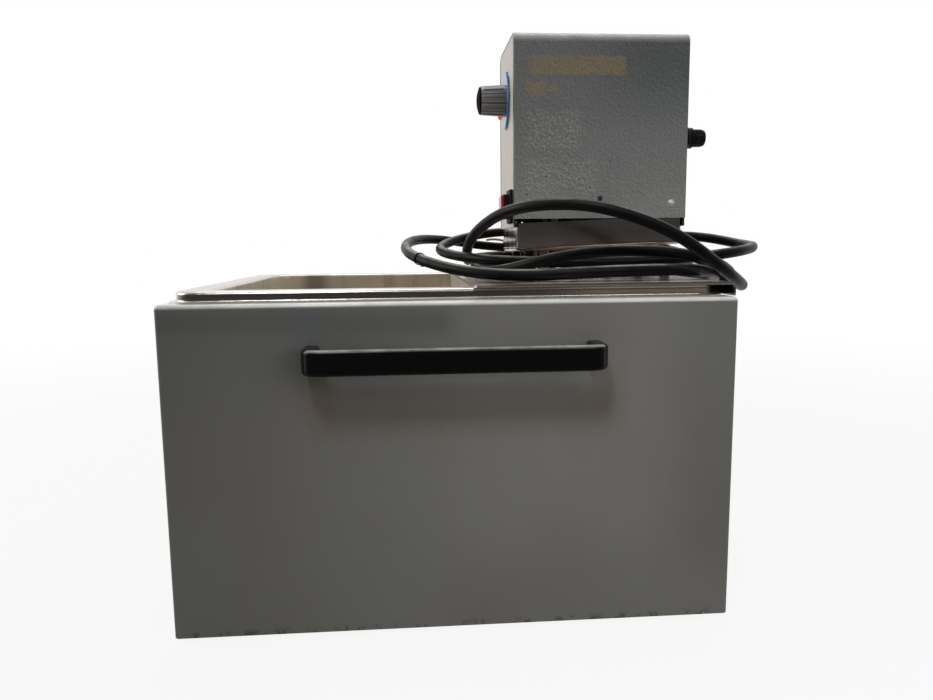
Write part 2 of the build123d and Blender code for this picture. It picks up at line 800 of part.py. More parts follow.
# Thermostat behind the panel, held by its bush and a nut
knob_plane = Plane(origin=(head_left, 0, knob_height), x_dir=(0, 1, 0), z_dir=(-1, 0, 0))
with BuildPart() as thermostat:
    with BuildSketch(knob_plane.offset(-panel_sheet)):
        Circle(thermostat_radius)
    extrude(amount=-thermostat_length)
    fillet(thermostat.faces().sort_by(Axis.X)[-1].edges(), radius=thermostat_edge_radius)
    with BuildSketch(knob_plane.offset(-panel_sheet)):
        Circle(bush_radius)
    extrude(amount=panel_sheet + bush_reach)
    with BuildSketch(knob_plane.offset(bush_reach)):
        Circle(knob_shaft_radius + shaft_gap)
    extrude(amount=-(bush_reach + panel_sheet + knob_shaft_depth), mode=Mode.SUBTRACT)
thermostat.part.label = "thermostat"
export_step(thermostat.part, "parts/thermostat.step")

with BuildPart() as thermostat_nut:
    with BuildSketch(knob_plane):
        RegularPolygon(thermostat_nut_radius, side_count=6)
        Circle(bush_radius + shaft_gap, mode=Mode.SUBTRACT)
    extrude(amount=thermostat_nut_height)
thermostat_nut.part.label = "thermostat_nut"
export_step(thermostat_nut.part, "parts/thermostat_nut.step")

# Knob: a tapered fluted barrel on a clear skirt, with a domed cap, on the thermostat's shaft
skirt_front = knob_back_gap + knob_skirt_sheet
knob_taper = degrees(atan2(knob_base_radius - knob_tip_radius, knob_length))
with BuildPart() as knob_skirt:
    with BuildSketch(knob_plane.offset(knob_back_gap)):
        Circle(knob_skirt_radius)
    extrude(amount=knob_skirt_sheet)
    chamfer(knob_skirt.faces().sort_by(Axis.X)[0].edges(), length=knob_skirt_bevel)
    with BuildSketch(knob_plane.offset(knob_back_gap)):
        Circle(thermostat_nut_radius + 2 * running_gap)
    extrude(amount=knob_skirt_sheet, mode=Mode.SUBTRACT)
knob_skirt.part.label = "knob_skirt"
export_step(knob_skirt.part, "parts/knob_skirt.step")

flute_length = knob_length - 2 * knob_flute_margin
with BuildPart() as flute:
    with BuildSketch(Plane.YZ):
        SlotOverall(flute_length, 2 * knob_flute_radius, rotation=90)
    extrude(amount=knob_base_radius)
flute_floor = (knob_base_radius + knob_tip_radius) / 2 - knob_flute_depth
with BuildPart() as knob:
    with BuildSketch(knob_plane.offset(skirt_front)):
        Circle(knob_base_radius)
    extrude(amount=knob_length, taper=knob_taper)
    with Locations(knob_plane.offset(skirt_front + knob_length / 2)):
        with PolarLocations(flute_floor, knob_flutes):
            with Locations(Rotation(0, -knob_taper, 0)):
                add(flute.part, mode=Mode.SUBTRACT)
    with BuildSketch(knob_plane.offset(skirt_front)):
        Circle(knob_shaft_radius + shaft_gap)
    extrude(amount=knob_shaft_depth, mode=Mode.SUBTRACT)
knob.part.label = "knob"
export_step(knob.part, "parts/knob.step")

cap_radius = knob_tip_radius - knob_edge_radius
cap_rim = knob_cap_height / 3
cap_base = skirt_front + knob_length
dome_x, dome_y = dome_middle(cap_radius, knob_cap_height - cap_rim)
with BuildPart() as knob_cap:
    with BuildSketch(Plane((head_left - cap_base, 0, knob_height), x_dir=(0, 1, 0), z_dir=(0, 0, 1))):
        with BuildLine():
            Polyline((0, knob_cap_height), (0, 0), (cap_radius, 0), (cap_radius, cap_rim))
            ThreePointArc((cap_radius, cap_rim), (dome_x, cap_rim + dome_y), (0, knob_cap_height))
        make_face()
    revolve(axis=Axis((0, 0, knob_height), (1, 0, 0)))
knob_cap.part.label = "knob_cap"
export_step(knob_cap.part, "parts/knob_cap.step")

with BuildPart() as thermostat_shaft:
    with BuildSketch(knob_plane.offset(-panel_sheet - knob_shaft_depth + running_gap)):
        Circle(knob_shaft_radius)
    extrude(amount=panel_sheet + 2 * knob_shaft_depth + skirt_front - 2 * running_gap)
thermostat_shaft.part.label = "thermostat_shaft"
export_step(thermostat_shaft.part, "parts/thermostat_shaft.step")

# Pilot lamp: a domed lens with its body behind the panel
lamp_plane = Plane(origin=(head_left, lamp_y, lamp_height), x_dir=(0, 1, 0), z_dir=(-1, 0, 0))
with BuildPart() as pilot_lamp:
    with BuildSketch(lamp_plane):
        Circle(lamp_lens_radius)
    extrude(amount=lamp_lens_reach)
    fillet(pilot_lamp.faces().sort_by(Axis.X)[0].edges(), radius=lamp_lens_radius / 2)
    with BuildSketch(lamp_plane):
        Circle(lamp_body_radius)
    extrude(amount=-lamp_body_length)
pilot_lamp.part.label = "pilot_lamp"
export_step(pilot_lamp.part, "parts/pilot_lamp.step")

# Rocker switch: a bezel, a raised collar and a body through the panel, with the rocker on moulded pins
switch_plane = Plane(origin=(head_left, switch_y, switch_height), x_dir=(0, 1, 0), z_dir=(-1, 0, 0))
collar_front = switch_bezel + switch_collar_reach
well_width = switch_collar_width - 2 * switch_collar_wall
well_tall = switch_collar_tall - 2 * switch_collar_wall
rocker_pivot_front = collar_front - rocker_pivot_depth
rocker_half = well_tall / 2 - 2 * rocker_side_gap
pin_half_length = well_width / 2 + switch_collar_wall - running_gap
with BuildPart() as switch_housing:
    with BuildSketch(switch_plane):
        RectangleRounded(switch_width, switch_tall, switch_bezel_radius)
    extrude(amount=switch_bezel)
    chamfer(switch_housing.faces().sort_by(Axis.X)[0].edges(), length=switch_bezel / 4)
    with BuildSketch(switch_plane.offset(switch_bezel)):
        RectangleRounded(switch_collar_width, switch_collar_tall, switch_bezel_radius)
    extrude(amount=switch_collar_reach)
    with BuildSketch(switch_plane):
        Rectangle(switch_body_width, switch_body_tall)
    extrude(amount=-switch_body_length)
    with BuildSketch(switch_plane.offset(collar_front)):
        Rectangle(well_width, well_tall)
    extrude(amount=-(rocker_pivot_depth + rocker_belly + 2 * rocker_side_gap), mode=Mode.SUBTRACT)
    with BuildSketch(Plane.XZ.offset(-switch_y)):
        with Locations((head_left - rocker_pivot_front, switch_height)):
            Circle(rocker_pin_radius + shaft_gap)
    extrude(amount=well_width / 2 + switch_collar_wall, both=True, mode=Mode.SUBTRACT)
switch_housing.part.label = "switch_housing"
export_step(switch_housing.part, "parts/switch_housing.step")

rocker_dip = radians(rocker_dip_angle)
rocker_plane = Plane(origin=(head_left - rocker_pivot_front, switch_y, switch_height),
                     x_dir=(sin(rocker_dip), 0, cos(rocker_dip)), z_dir=(0, 1, 0))
rocker_crown = rocker_pivot_depth + rocker_proud
with BuildPart() as switch_rocker:
    with BuildSketch(rocker_plane):
        with BuildLine():
            Polyline((-rocker_half, 0), (-rocker_half, -rocker_crown),
                     (0, -rocker_crown + rocker_proud / 4), (rocker_half, -rocker_crown),
                     (rocker_half, 0))
            ThreePointArc((rocker_half, 0), (0, rocker_belly), (-rocker_half, 0))
        make_face()
    extrude(amount=well_width / 2 - rocker_side_gap, both=True)
    with BuildSketch(rocker_plane):
        Circle(rocker_pin_radius)
    extrude(amount=pin_half_length, both=True)
switch_rocker.part.label = "switch_rocker"
export_step(switch_rocker.part, "parts/switch_rocker.step")

# Fuse holder in the rear panel, with its ribbed cap and the fuse
fuse_plane = Plane(origin=(head_right, fuse_y, fuse_height), x_dir=(0, 1, 0), z_dir=(1, 0, 0))
fuse_front = fuse_flange_reach + fuse_collar_reach
fuse_bore_radius = fuse_cap_stem_radius + shaft_gap
with BuildPart() as fuse_holder:
    with BuildSketch(fuse_plane):
        Circle(fuse_flange_radius)
    extrude(amount=fuse_flange_reach)
    chamfer(fuse_holder.faces().sort_by(Axis.X)[-1].edges(), length=fuse_bevel)
    with BuildSketch(fuse_plane.offset(fuse_flange_reach)):
        Circle(fuse_collar_radius)
    extrude(amount=fuse_collar_reach)
    with BuildSketch(fuse_plane):
        Circle(fuse_body_radius)
    extrude(amount=-fuse_body_length)
    with BuildSketch(fuse_plane.offset(fuse_front)):
        Circle(fuse_bore_radius)
    extrude(amount=-(fuse_cap_stem_length + fuse_length + running_gap), mode=Mode.SUBTRACT)
fuse_holder.part.label = "fuse_holder"
export_step(fuse_holder.part, "parts/fuse_holder.step")

cap_back = fuse_front + running_gap
with BuildPart() as fuse_cap:
    with BuildSketch(fuse_plane.offset(cap_back)):
        Circle(fuse_cap_radius)
        with PolarLocations(fuse_cap_radius, fuse_cap_ribs):
            Circle(fuse_cap_rib_radius, mode=Mode.SUBTRACT)
    extrude(amount=fuse_cap_reach - fuse_cap_edge_radius)
    with BuildSketch(fuse_plane.offset(cap_back + fuse_cap_reach - fuse_cap_edge_radius)):
        Circle(fuse_cap_radius - fuse_cap_rib_radius)
    extrude(amount=fuse_cap_edge_radius)
    fillet(fuse_cap.faces().sort_by(Axis.X)[-1].edges(), radius=fuse_cap_edge_radius / 2)
    with BuildSketch(fuse_plane.offset(cap_back)):
        Circle(fuse_cap_stem_radius)
    extrude(amount=-fuse_cap_stem_length)
fuse_cap.part.label = "fuse_cap"
export_step(fuse_cap.part, "parts/fuse_cap.step")

fuse_start = cap_back - fuse_cap_stem_length
with BuildPart() as fuse:
    with BuildSketch(fuse_plane.offset(fuse_start)):
        Circle(fuse_radius)
    extrude(amount=-fuse_length)
    for start in (fuse_start, fuse_start - fuse_length + fuse_tip_length):
        with BuildSketch(fuse_plane.offset(start)):
            Circle(fuse_tip_radius)
        extrude(amount=-fuse_tip_length)
fuse.part.label = "fuse"
export_step(fuse.part, "parts/fuse.step")

# Motor: a laminated frame with its coil on one limb, standing on four pillars in the pan
limb_inner = stator_arm - limb_width
with BuildPart() as motor_stator:
    with BuildSketch(Plane.XY.offset(stator_bottom)) as frame_outline:
        with Locations((motor_x - stator_back, 0)):
            Rectangle(stator_back + stator_arm, stator_depth, align=(Align.MIN, Align.CENTER))
        fillet(frame_outline.vertices(), radius=stator_edge_radius)
        with Locations((motor_x + limb_inner, 0)):
            Rectangle(window_width, window_depth, align=(Align.MAX, Align.CENTER), mode=Mode.SUBTRACT)
        with Locations((motor_x, 0)):
            Circle(rotor_radius + rotor_gap, mode=Mode.SUBTRACT)
    extrude(amount=stator_stack)
motor_stator.part.label = "motor_stator"
export_step(motor_stator.part, "parts/motor_stator.step")

with BuildPart() as motor_coil:
    with BuildSketch(Plane.XY.offset(stator_bottom - coil_wall)) as coil_outline:
        with Locations((motor_x + stator_arm - limb_width / 2, 0)):
            Rectangle(limb_width + 2 * coil_wall, window_depth - 2 * running_gap)
        fillet(coil_outline.vertices(), radius=coil_edge_radius)
    extrude(amount=stator_stack + 2 * coil_wall)
    with BuildSketch(Plane.XY.offset(stator_bottom - running_gap)):
        with Locations((motor_x + stator_arm - limb_width / 2, 0)):
            Rectangle(limb_width + 2 * running_gap, stator_depth)
    extrude(amount=stator_stack + 2 * running_gap, mode=Mode.SUBTRACT)
motor_coil.part.label = "motor_coil"
export_step(motor_coil.part, "parts/motor_coil.step")

with BuildPart() as motor_pillars:
    for i in (-1, 1):
        pillar_x = motor_x + i * pillar_spacing_x / 2
        pillar_foot = pan_floor(pillar_x + pillar_radius) + pan_sheet
        with BuildSketch(Plane.XY.offset(pillar_foot)):
            with Locations((pillar_x, -pillar_spacing_y / 2), (pillar_x, pillar_spacing_y / 2)):
                Circle(pillar_radius)
        extrude(amount=stator_bottom - pillar_foot)
motor_pillars.part.label = "motor_pillars"
export_step(motor_pillars.part, "parts/motor_pillars.step")

# Rotating parts: shaft, rotor, fan and impeller
pump_bottom = rim_top - pump_depth
pump_top = pump_bottom + pump_stack
impeller_bottom = pump_bottom + pump_wall + impeller_floor_gap
fan_top = fan_height + fan_hub_height
with BuildPart() as drive_shaft:
    with BuildSketch(Plane.XY.offset(impeller_bottom)):
        with Locations((motor_x, 0)):
            Circle(drive_shaft_radius)
    extrude(amount=fan_top - impeller_bottom)
    chamfer(drive_shaft.edges().filter_by(GeomType.CIRCLE), length=drive_shaft_radius / 8)
drive_shaft.part.label = "drive_shaft"
export_step(drive_shaft.part, "parts/drive_shaft.step")

with BuildPart() as motor_rotor:
    with BuildSketch(Plane.XY.offset(stator_bottom - rotor_overhang)):
        with Locations((motor_x, 0)):
            Circle(rotor_radius)
            Circle(drive_shaft_radius + shaft_gap, mode=Mode.SUBTRACT)
    extrude(amount=stator_stack + 2 * rotor_overhang)
motor_rotor.part.label = "motor_rotor"
export_step(motor_rotor.part, "parts/motor_rotor.step")

blade_length = fan_radius - fan_hub_radius / 2
with BuildPart() as cooling_fan:
    with BuildSketch(Plane.XY.offset(fan_height)):
        with Locations((motor_x, 0)):
            Circle(fan_hub_radius)
    extrude(amount=fan_hub_height)
    with Locations((motor_x, 0, fan_height + fan_hub_height / 2)):
        with PolarLocations(fan_hub_radius / 2, fan_blades):
            Box(blade_length, fan_blade_width, fan_blade_sheet, rotation=(fan_blade_angle, 0, 0),
                align=(Align.MIN, Align.CENTER, Align.CENTER))
    with BuildSketch(Plane.XY.offset(fan_height)):
        with Locations((motor_x, 0)):
            Circle(drive_shaft_radius + shaft_gap)
    extrude(amount=fan_hub_height, mode=Mode.SUBTRACT)
cooling_fan.part.label = "cooling_fan"
export_step(cooling_fan.part, "parts/cooling_fan.step")

with BuildPart() as impeller:
    with BuildSketch(Plane.XY.offset(impeller_bottom)):
        with Locations((motor_x, 0)):
            Circle(impeller_radius)
    extrude(amount=impeller_sheet)
    with BuildSketch(Plane.XY.offset(impeller_bottom)):
        with Locations((motor_x, 0)):
            Circle(impeller_hub_radius)
    extrude(amount=impeller_sheet + impeller_vane_height)
    with BuildSketch(Plane.XY.offset(impeller_bottom)):
        with Locations((motor_x, 0)):
            with PolarLocations(impeller_hub_radius - impeller_vane_sheet, impeller_vanes):
                with Locations(Rotation(0, 0, impeller_vane_angle)):
                    Rectangle(impeller_radius - impeller_hub_radius, impeller_vane_sheet,
                              align=(Align.MIN, Align.CENTER))
    extrude(amount=impeller_sheet + impeller_vane_height)
    with BuildSketch(Plane.XY.offset(impeller_bottom)):
        with Locations((motor_x, 0)):
            Circle(drive_shaft_radius + shaft_gap)
    extrude(amount=impeller_sheet + impeller_vane_height, mode=Mode.SUBTRACT)
impeller.part.label = "impeller"
export_step(impeller.part, "parts/impeller.step")

# Pump column through the plate, its two bushes and the pump housing below
column_bore = column_radius - column_sheet
with BuildPart() as pump_column:
    with BuildSketch(Plane.XY.offset(pump_top)):
        with Locations((motor_x, 0)):
            Circle(column_radius)
    extrude(amount=plate_top - pump_top)
    with BuildSketch(Plane.XY.offset(plate_top)):
        with Locations((motor_x, 0)):
            Circle(column_flange_radius)
    extrude(amount=column_flange_sheet)
    with BuildSketch(Plane.XY.offset(pump_top)):
        with Locations((motor_x, 0)):
            Circle(column_bore)
    extrude(amount=plate_top + column_flange_sheet - pump_top, mode=Mode.SUBTRACT)
pump_column.part.label = "pump_column"
export_step(pump_column.part, "parts/pump_column.step")

with BuildPart() as shaft_bushes:
    for height in (pump_top, plate_top + column_flange_sheet - bush_height):
        with BuildSketch(Plane.XY.offset(height)):
            with Locations((motor_x, 0)):
                Circle(column_bore - shaft_gap)
                Circle(drive_shaft_radius + shaft_gap, mode=Mode.SUBTRACT)
        extrude(amount=bush_height)
shaft_bushes.part.label = "shaft_bushes"
export_step(shaft_bushes.part, "parts/shaft_bushes.step")

outlet_half = pump_outlet_width / 2 + pump_wall
with BuildPart() as pump_housing:
    with BuildSketch(Plane.XY.offset(pump_bottom)):
        with Locations((motor_x, 0)):
            Circle(pump_radius)
    extrude(amount=pump_stack)
    fillet(pump_housing.faces().sort_by(Axis.Z)[0].edges(), radius=pump_wall)
    with BuildSketch(Plane.YZ.offset(motor_x - pump_radius - pump_outlet_reach)):
        with Locations((outlet_y, pump_bottom + pump_stack / 2)):
            Circle(outlet_half)
    extrude(amount=pump_radius + pump_outlet_reach - pump_wall)
    with BuildSketch(Plane.XY.offset(pump_bottom + pump_wall)):
        with Locations((motor_x, 0)):
            Circle(pump_radius - pump_wall)
    extrude(amount=pump_stack - 2 * pump_wall, mode=Mode.SUBTRACT)
    with BuildSketch(Plane.YZ.offset(motor_x - pump_radius - pump_outlet_reach)):
        with Locations((outlet_y, pump_bottom + pump_stack / 2)):
            Circle(pump_outlet_width / 2)
    extrude(amount=pump_radius + pump_outlet_reach - pump_wall, mode=Mode.SUBTRACT)
    with BuildSketch(Plane.XY.offset(pump_bottom)):
        with Locations((motor_x, 0)):
            Circle(pump_inlet_radius)
    extrude(amount=pump_wall, mode=Mode.SUBTRACT)
    with BuildSketch(Plane.XY.offset(pump_top - pump_wall)):
        with Locations((motor_x, 0)):
            Circle(drive_shaft_radius + running_gap)
    extrude(amount=pump_wall, mode=Mode.SUBTRACT)
pump_housing.part.label = "pump_housing"
export_step(pump_housing.part, "parts/pump_housing.step")

# Heater: one sheathed tube bent to a U, its cold ends up in the head
heater_top = pan_floor(heater_x) + pan_sheet + heater_top_reach
heater_half = heater_spread / 2
with BuildPart() as heater:
    with BuildLine():
        heater_path = FilletPolyline(
            (heater_x, -heater_half, heater_top), (heater_x, -heater_half, heater_bottom),
            (heater_x, heater_half, heater_bottom), (heater_x, heater_half, heater_top),
            radius=heater_bend_radius)
    with BuildSketch(Plane((heater_x, -heater_half, heater_top), x_dir=(1, 0, 0), z_dir=(0, 0, -1))):
        Circle(heater_tube_radius)
    sweep(path=heater_path)
heater.part.label = "heater"
export_step(heater.part, "parts/heater.step")

with BuildPart() as heater_nuts:
    with BuildSketch(Plane.XY.offset(plate_top)):
        with Locations((heater_x, -heater_half), (heater_x, heater_half)):
            RegularPolygon(heater_nut_across_flats / 2, side_count=6, major_radius=False)
            Circle(heater_tube_radius + shaft_gap, mode=Mode.SUBTRACT)
    extrude(amount=heater_nut_height)
heater_nuts.part.label = "heater_nuts"
export_step(heater_nuts.part, "parts/heater_nuts.step")

# Temperature probe with a round tip
probe_top = pan_floor(probe_x) + pan_sheet + probe_top_reach
with BuildPart() as temperature_probe:
    with BuildSketch(Plane.XY.offset(probe_bottom)):
        with Locations((probe_x, probe_y)):
            Circle(probe_radius)
    extrude(amount=probe_top - probe_bottom)
    fillet(temperature_probe.faces().sort_by(Axis.Z)[0].edges(), radius=probe_radius * probe_tip_share)
temperature_probe.part.label = "temperature_probe"
export_step(temperature_probe.part, "parts/temperature_probe.step")

with BuildPart() as probe_nut:
    with BuildSketch(Plane.XY.offset(plate_top)):
        with Locations((probe_x, probe_y)):
            RegularPolygon(probe_nut_across_flats / 2, side_count=6, major_radius=False)
            Circle(probe_radius + shaft_gap, mode=Mode.SUBTRACT)
    extrude(amount=probe_nut_height)
probe_nut.part.label = "probe_nut"
export_step(probe_nut.part, "parts/probe_nut.step")

# Standing plate for the electrics, its lower edge following the pan's floor
component_right = component_left + component_width
component_face = component_y - component_sheet
with BuildPart() as component_plate:
    with BuildSketch(Plane.XZ.offset(-component_y)) as plate_outline:
        with BuildLine():
            Polyline((component_left, pan_floor(component_left) + pan_sheet + shaft_gap),
                     (component_right, pan_floor(component_right) + pan_sheet + shaft_gap),
                     (component_right, component_top), (component_left, component_top),
                     (component_left, pan_floor(component_left) + pan_sheet + shaft_gap))
        make_face()
        fillet(plate_outline.vertices().group_by(Axis.Y)[-1], radius=component_edge_radius)
    extrude(amount=component_sheet)
component_plate.part.label = "component_plate"
export_step(component_plate.part, "parts/component_plate.step")

board_plane = Plane(origin=(board_x, component_face, board_height), x_dir=(1, 0, 0), z_dir=(0, -1, 0))
board_front = board_standoff + board_sheet
with BuildPart() as circuit_board:
    with BuildSketch(board_plane):
        with GridLocations(board_width - 2 * board_pin_inset, board_tall - 2 * board_pin_inset, 2, 2):
            Circle(board_pin_radius)
    extrude(amount=board_standoff)
    with BuildSketch(board_plane.offset(board_standoff)):
        Rectangle(board_width, board_tall)
    extrude(amount=board_sheet)
    with BuildSketch(board_plane.offset(board_front)):
        with Locations((board_width / 4, board_tall / 4), (board_width / 4, -board_tall / 8)):
            Rectangle(relay_width, relay_tall)
    extrude(amount=relay_reach)
    with BuildSketch(board_plane.offset(board_front)):
        with Locations((-board_width / 4, board_tall / 4)):
            Circle(capacitor_radius)
    extrude(amount=capacitor_reach)
circuit_board.part.label = "circuit_board"
export_step(circuit_board.part, "parts/circuit_board.step")

transformer_plane = Plane(origin=(transformer_x, component_face, transformer_height),
                          x_dir=(1, 0, 0), z_dir=(0, -1, 0))
with BuildPart() as transformer:
    with BuildSketch(transformer_plane):
        Rectangle(transformer_width, transformer_tall)
    extrude(amount=transformer_reach - transformer_coil_reach)
    with BuildSketch(transformer_plane):
        Rectangle(transformer_width - transformer_coil_reach, transformer_coil_tall)
    extrude(amount=transformer_reach)
    fillet(transformer.faces().sort_by(Axis.Y)[0].edges(), radius=transformer_coil_reach / 3)
transformer.part.label = "transformer"
export_step(transformer.part, "parts/transformer.step")

terminal_plane = Plane(origin=(motor_x, component_face, terminal_height),
                       x_dir=(1, 0, 0), z_dir=(0, -1, 0))
with BuildPart() as terminal_block:
    with BuildSketch(terminal_plane):
        Rectangle(terminal_width, terminal_tall)
    extrude(amount=terminal_reach)
    with BuildSketch(terminal_plane.offset(terminal_reach)):
        with GridLocations(terminal_width / terminal_ways, 0, terminal_ways, 1):
            Circle(terminal_screw_radius)
    extrude(amount=-terminal_screw_depth, mode=Mode.SUBTRACT)
terminal_block.part.label = "terminal_block"
export_step(terminal_block.part, "parts/terminal_block.step")

# Strain relief: a flange and a taper outside the pan's right wall, a body through it
relief_plane = Plane(origin=(pan_right, relief_y, relief_height), x_dir=(0, 1, 0), z_dir=(1, 0, 0))
relief_taper = degrees(atan2(relief_root_radius - relief_tip_radius, relief_length))
with BuildPart() as strain_relief:
    with BuildSketch(relief_plane):
        Circle(relief_flange_radius)
    extrude(amount=relief_flange_sheet)
    with BuildSketch(relief_plane.offset(relief_flange_sheet)):
        Circle(relief_root_radius)
    extrude(amount=relief_length, taper=relief_taper)
    with BuildSketch(relief_plane):
        Circle(relief_body_radius)
    extrude(amount=-relief_body_length)
strain_relief.part.label = "strain_relief"
export_step(strain_relief.part, "parts/strain_relief.step")


# Mains lead: one unbroken tube, each quarter turn a pair of arcs that meet its two stations
def direction(heading, climb):
    """Unit vector for a heading from +X towards +Y and a climb, both in degrees."""
    level = cos(radians(climb))
    return Vector(level * cos(radians(heading)), level * sin(radians(heading)), sin(radians(climb)))


def arc_meeting(place, way, next_place, next_way):
    """Where the two arcs between two stations meet, and their shared direction there."""
    chord = next_place - place
    spread = 2 * (1 - way.dot(next_way))
    pull = chord.dot(way + next_way)
    reach = (sqrt(pull ** 2 + spread * chord.dot(chord)) - pull) / spread
    before = place + way * reach
    after = next_place - next_way * reach
    return (before + after) / 2, (after - before).normalized()


lead_start = Vector(pan_right + relief_flange_sheet + relief_length, relief_y, relief_height)
lead_stations = [(lead_start, Vector(1, 0, 0))]
for turn in lead_turns:
    for x, y, z, heading, climb in turn:
        lead_stations.append((Vector(x, y, z), direction(heading, climb)))
lead_arcs = []
with BuildPart() as mains_lead:
    with BuildLine() as lead_path:
        for (place, way), (next_place, next_way) in zip(lead_stations, lead_stations[1:]):
            meeting, meeting_way = arc_meeting(place, way, next_place, next_way)
            lead_arcs.append(TangentArc(place, meeting, tangent=way))
            lead_arcs.append(TangentArc(meeting, next_place, tangent=meeting_way))
    with BuildSketch(Plane(origin=lead_start, z_dir=(1, 0, 0))):
        Circle(lead_radius)
    sweep(path=lead_path.wire())
mains_lead.part.label = "mains_lead"
export_step(mains_lead.part, "parts/mains_lead.step")

# The lead's length, tightest bend, and least gap to itself, measured on points along it
lead_length = sum(arc.length for arc in lead_arcs)
checks = [(arc @ (i / lead_check_count), arc.length / lead_check_count)
          for arc in lead_arcs for i in range(lead_check_count)]
travelled = [sum(step for point, step in checks[:i]) for i in range(len(checks))]
least_gap = min((checks[i][0] - checks[j][0]).length
                for i in range(len(checks)) for j in range(i)
                if travelled[i] - travelled[j] > 2 * lead_gap_count * lead_radius)
print("lead length", round(lead_length), "least gap to itself", round(least_gap - 2 * lead_radius, 2))
print("tightest bend", round(min(arc.radius for arc in lead_arcs)),
      "tube volume share", round(mains_lead.part.volume / (pi * lead_radius ** 2 * lead_length), 4))

# Cable tie: a band round the lead, its tail lying back along the lead
tie_path = lead_arcs[tie_arc_count]
tie_place = tie_path @ tie_share
tie_way = tie_path % tie_share
tie_plane = Plane(origin=tie_place, x_dir=Vector(0, 0, 1).cross(tie_way), z_dir=tie_way)
tie_outer_radius = lead_radius + running_gap + tie_sheet
with BuildPart() as lead_tie:
    with BuildSketch(tie_plane):
        Circle(tie_outer_radius)
        Circle(lead_radius + running_gap, mode=Mode.SUBTRACT)
    extrude(amount=tie_width / 2, both=True)
    with BuildSketch(tie_plane.offset(tie_width / 2)):
        with Locations((0, tie_outer_radius - tie_sheet / 2)):
            Rectangle(tie_width, tie_sheet)
    extrude(amount=-tie_tail)
lead_tie.part.label = "lead_tie"
export_step(lead_tie.part, "parts/lead_tie.step")

# Plug: a tapered neck into a round body, and two round pins
plug_place, plug_way = lead_stations[-1]
plug_plane = Plane(origin=plug_place, x_dir=plug_way.cross(Vector(0, 0, 1)), z_dir=(0, 0, 1))
plug_front = plug_neck_length + plug_shoulder + plug_length
with BuildPart() as plug_body:
    with BuildSketch(plug_plane):
        with BuildLine():
            Polyline((0, 0), (plug_neck_tip_radius, 0), (plug_neck_root_radius, plug_neck_length),
                     (plug_radius, plug_neck_length + plug_shoulder), (plug_radius, plug_front),
                     (0, plug_front), (0, 0))
        make_face()
    revolve(axis=Axis(plug_place, plug_way))
    front_face = plug_body.faces().sort_by(Axis(plug_place, plug_way))[-1]
    fillet(front_face.edges(), radius=plug_edge_radius)
    with BuildSketch(Plane(origin=plug_place + plug_way * plug_front, x_dir=plug_plane.x_dir,
                           z_dir=plug_way)):
        with GridLocations(pin_spacing, 0, 2, 1):
            Circle(pin_radius + shaft_gap)
    extrude(amount=-pin_root, mode=Mode.SUBTRACT)
plug_body.part.label = "plug_body"
export_step(plug_body.part, "parts/plug_body.step")

with BuildPart() as plug_pins:
    with BuildSketch(Plane(origin=plug_place + plug_way * (plug_front - pin_root),
                           x_dir=plug_plane.x_dir, z_dir=plug_way)):
        with GridLocations(pin_spacing, 0, 2, 1):
            Circle(pin_radius)
    extrude(amount=pin_root + pin_length)
    pin_tips = plug_pins.faces().group_by(Axis(plug_place, plug_way))[-1]
    fillet(pin_tips.edges(), radius=pin_radius / 2)
plug_pins.part.label = "plug_pins"
export_step(plug_pins.part, "parts/plug_pins.step")
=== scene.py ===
from math import acos, cos, pi, radians, sin, sqrt, tan

import bmesh
import bpy
from mathutils import Matrix, Vector


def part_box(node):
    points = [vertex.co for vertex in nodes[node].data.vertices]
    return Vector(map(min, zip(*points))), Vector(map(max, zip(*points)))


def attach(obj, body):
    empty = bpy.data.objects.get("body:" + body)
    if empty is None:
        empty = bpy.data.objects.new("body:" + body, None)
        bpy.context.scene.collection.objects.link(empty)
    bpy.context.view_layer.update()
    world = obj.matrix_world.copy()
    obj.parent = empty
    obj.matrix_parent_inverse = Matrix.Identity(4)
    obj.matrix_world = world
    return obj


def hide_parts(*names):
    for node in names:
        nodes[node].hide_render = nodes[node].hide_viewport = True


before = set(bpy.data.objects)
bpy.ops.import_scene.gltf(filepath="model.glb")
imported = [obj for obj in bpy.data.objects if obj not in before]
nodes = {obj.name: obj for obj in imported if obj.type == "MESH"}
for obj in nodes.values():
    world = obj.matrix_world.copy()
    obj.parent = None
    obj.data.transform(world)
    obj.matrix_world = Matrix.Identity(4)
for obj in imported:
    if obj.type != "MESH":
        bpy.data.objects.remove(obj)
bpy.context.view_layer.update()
scene = bpy.context.scene
scene.view_settings.view_transform = "Standard"

# Camera, solved from the corners of the casing, the rim and the head in the photograph
camera_place = (-0.034891, -0.767247, 0.311212)
camera_roll = radians(-0.579)
camera_tilt = radians(7.894)
camera_turn = radians(-4.337)


def make_camera():
    data = bpy.data.cameras.new("photo_camera")
    data.lens = 29.195
    data.sensor_width = 36
    data.clip_start = 0.01
    camera = bpy.data.objects.new("photo_camera", data)
    scene.collection.objects.link(camera)
    along_y = Matrix(((1, 0, 0), (0, 0, -1), (0, 1, 0)))
    right, down, forward = (Matrix.Rotation(camera_roll, 3, "Z") @ Matrix.Rotation(camera_tilt, 3, "X")
                            @ Matrix.Rotation(camera_turn, 3, "Y") @ along_y)
    place = Matrix((right, -down, -forward)).transposed().to_4x4()
    place.translation = camera_place
    camera.matrix_world = place
    scene.camera = camera


make_camera()

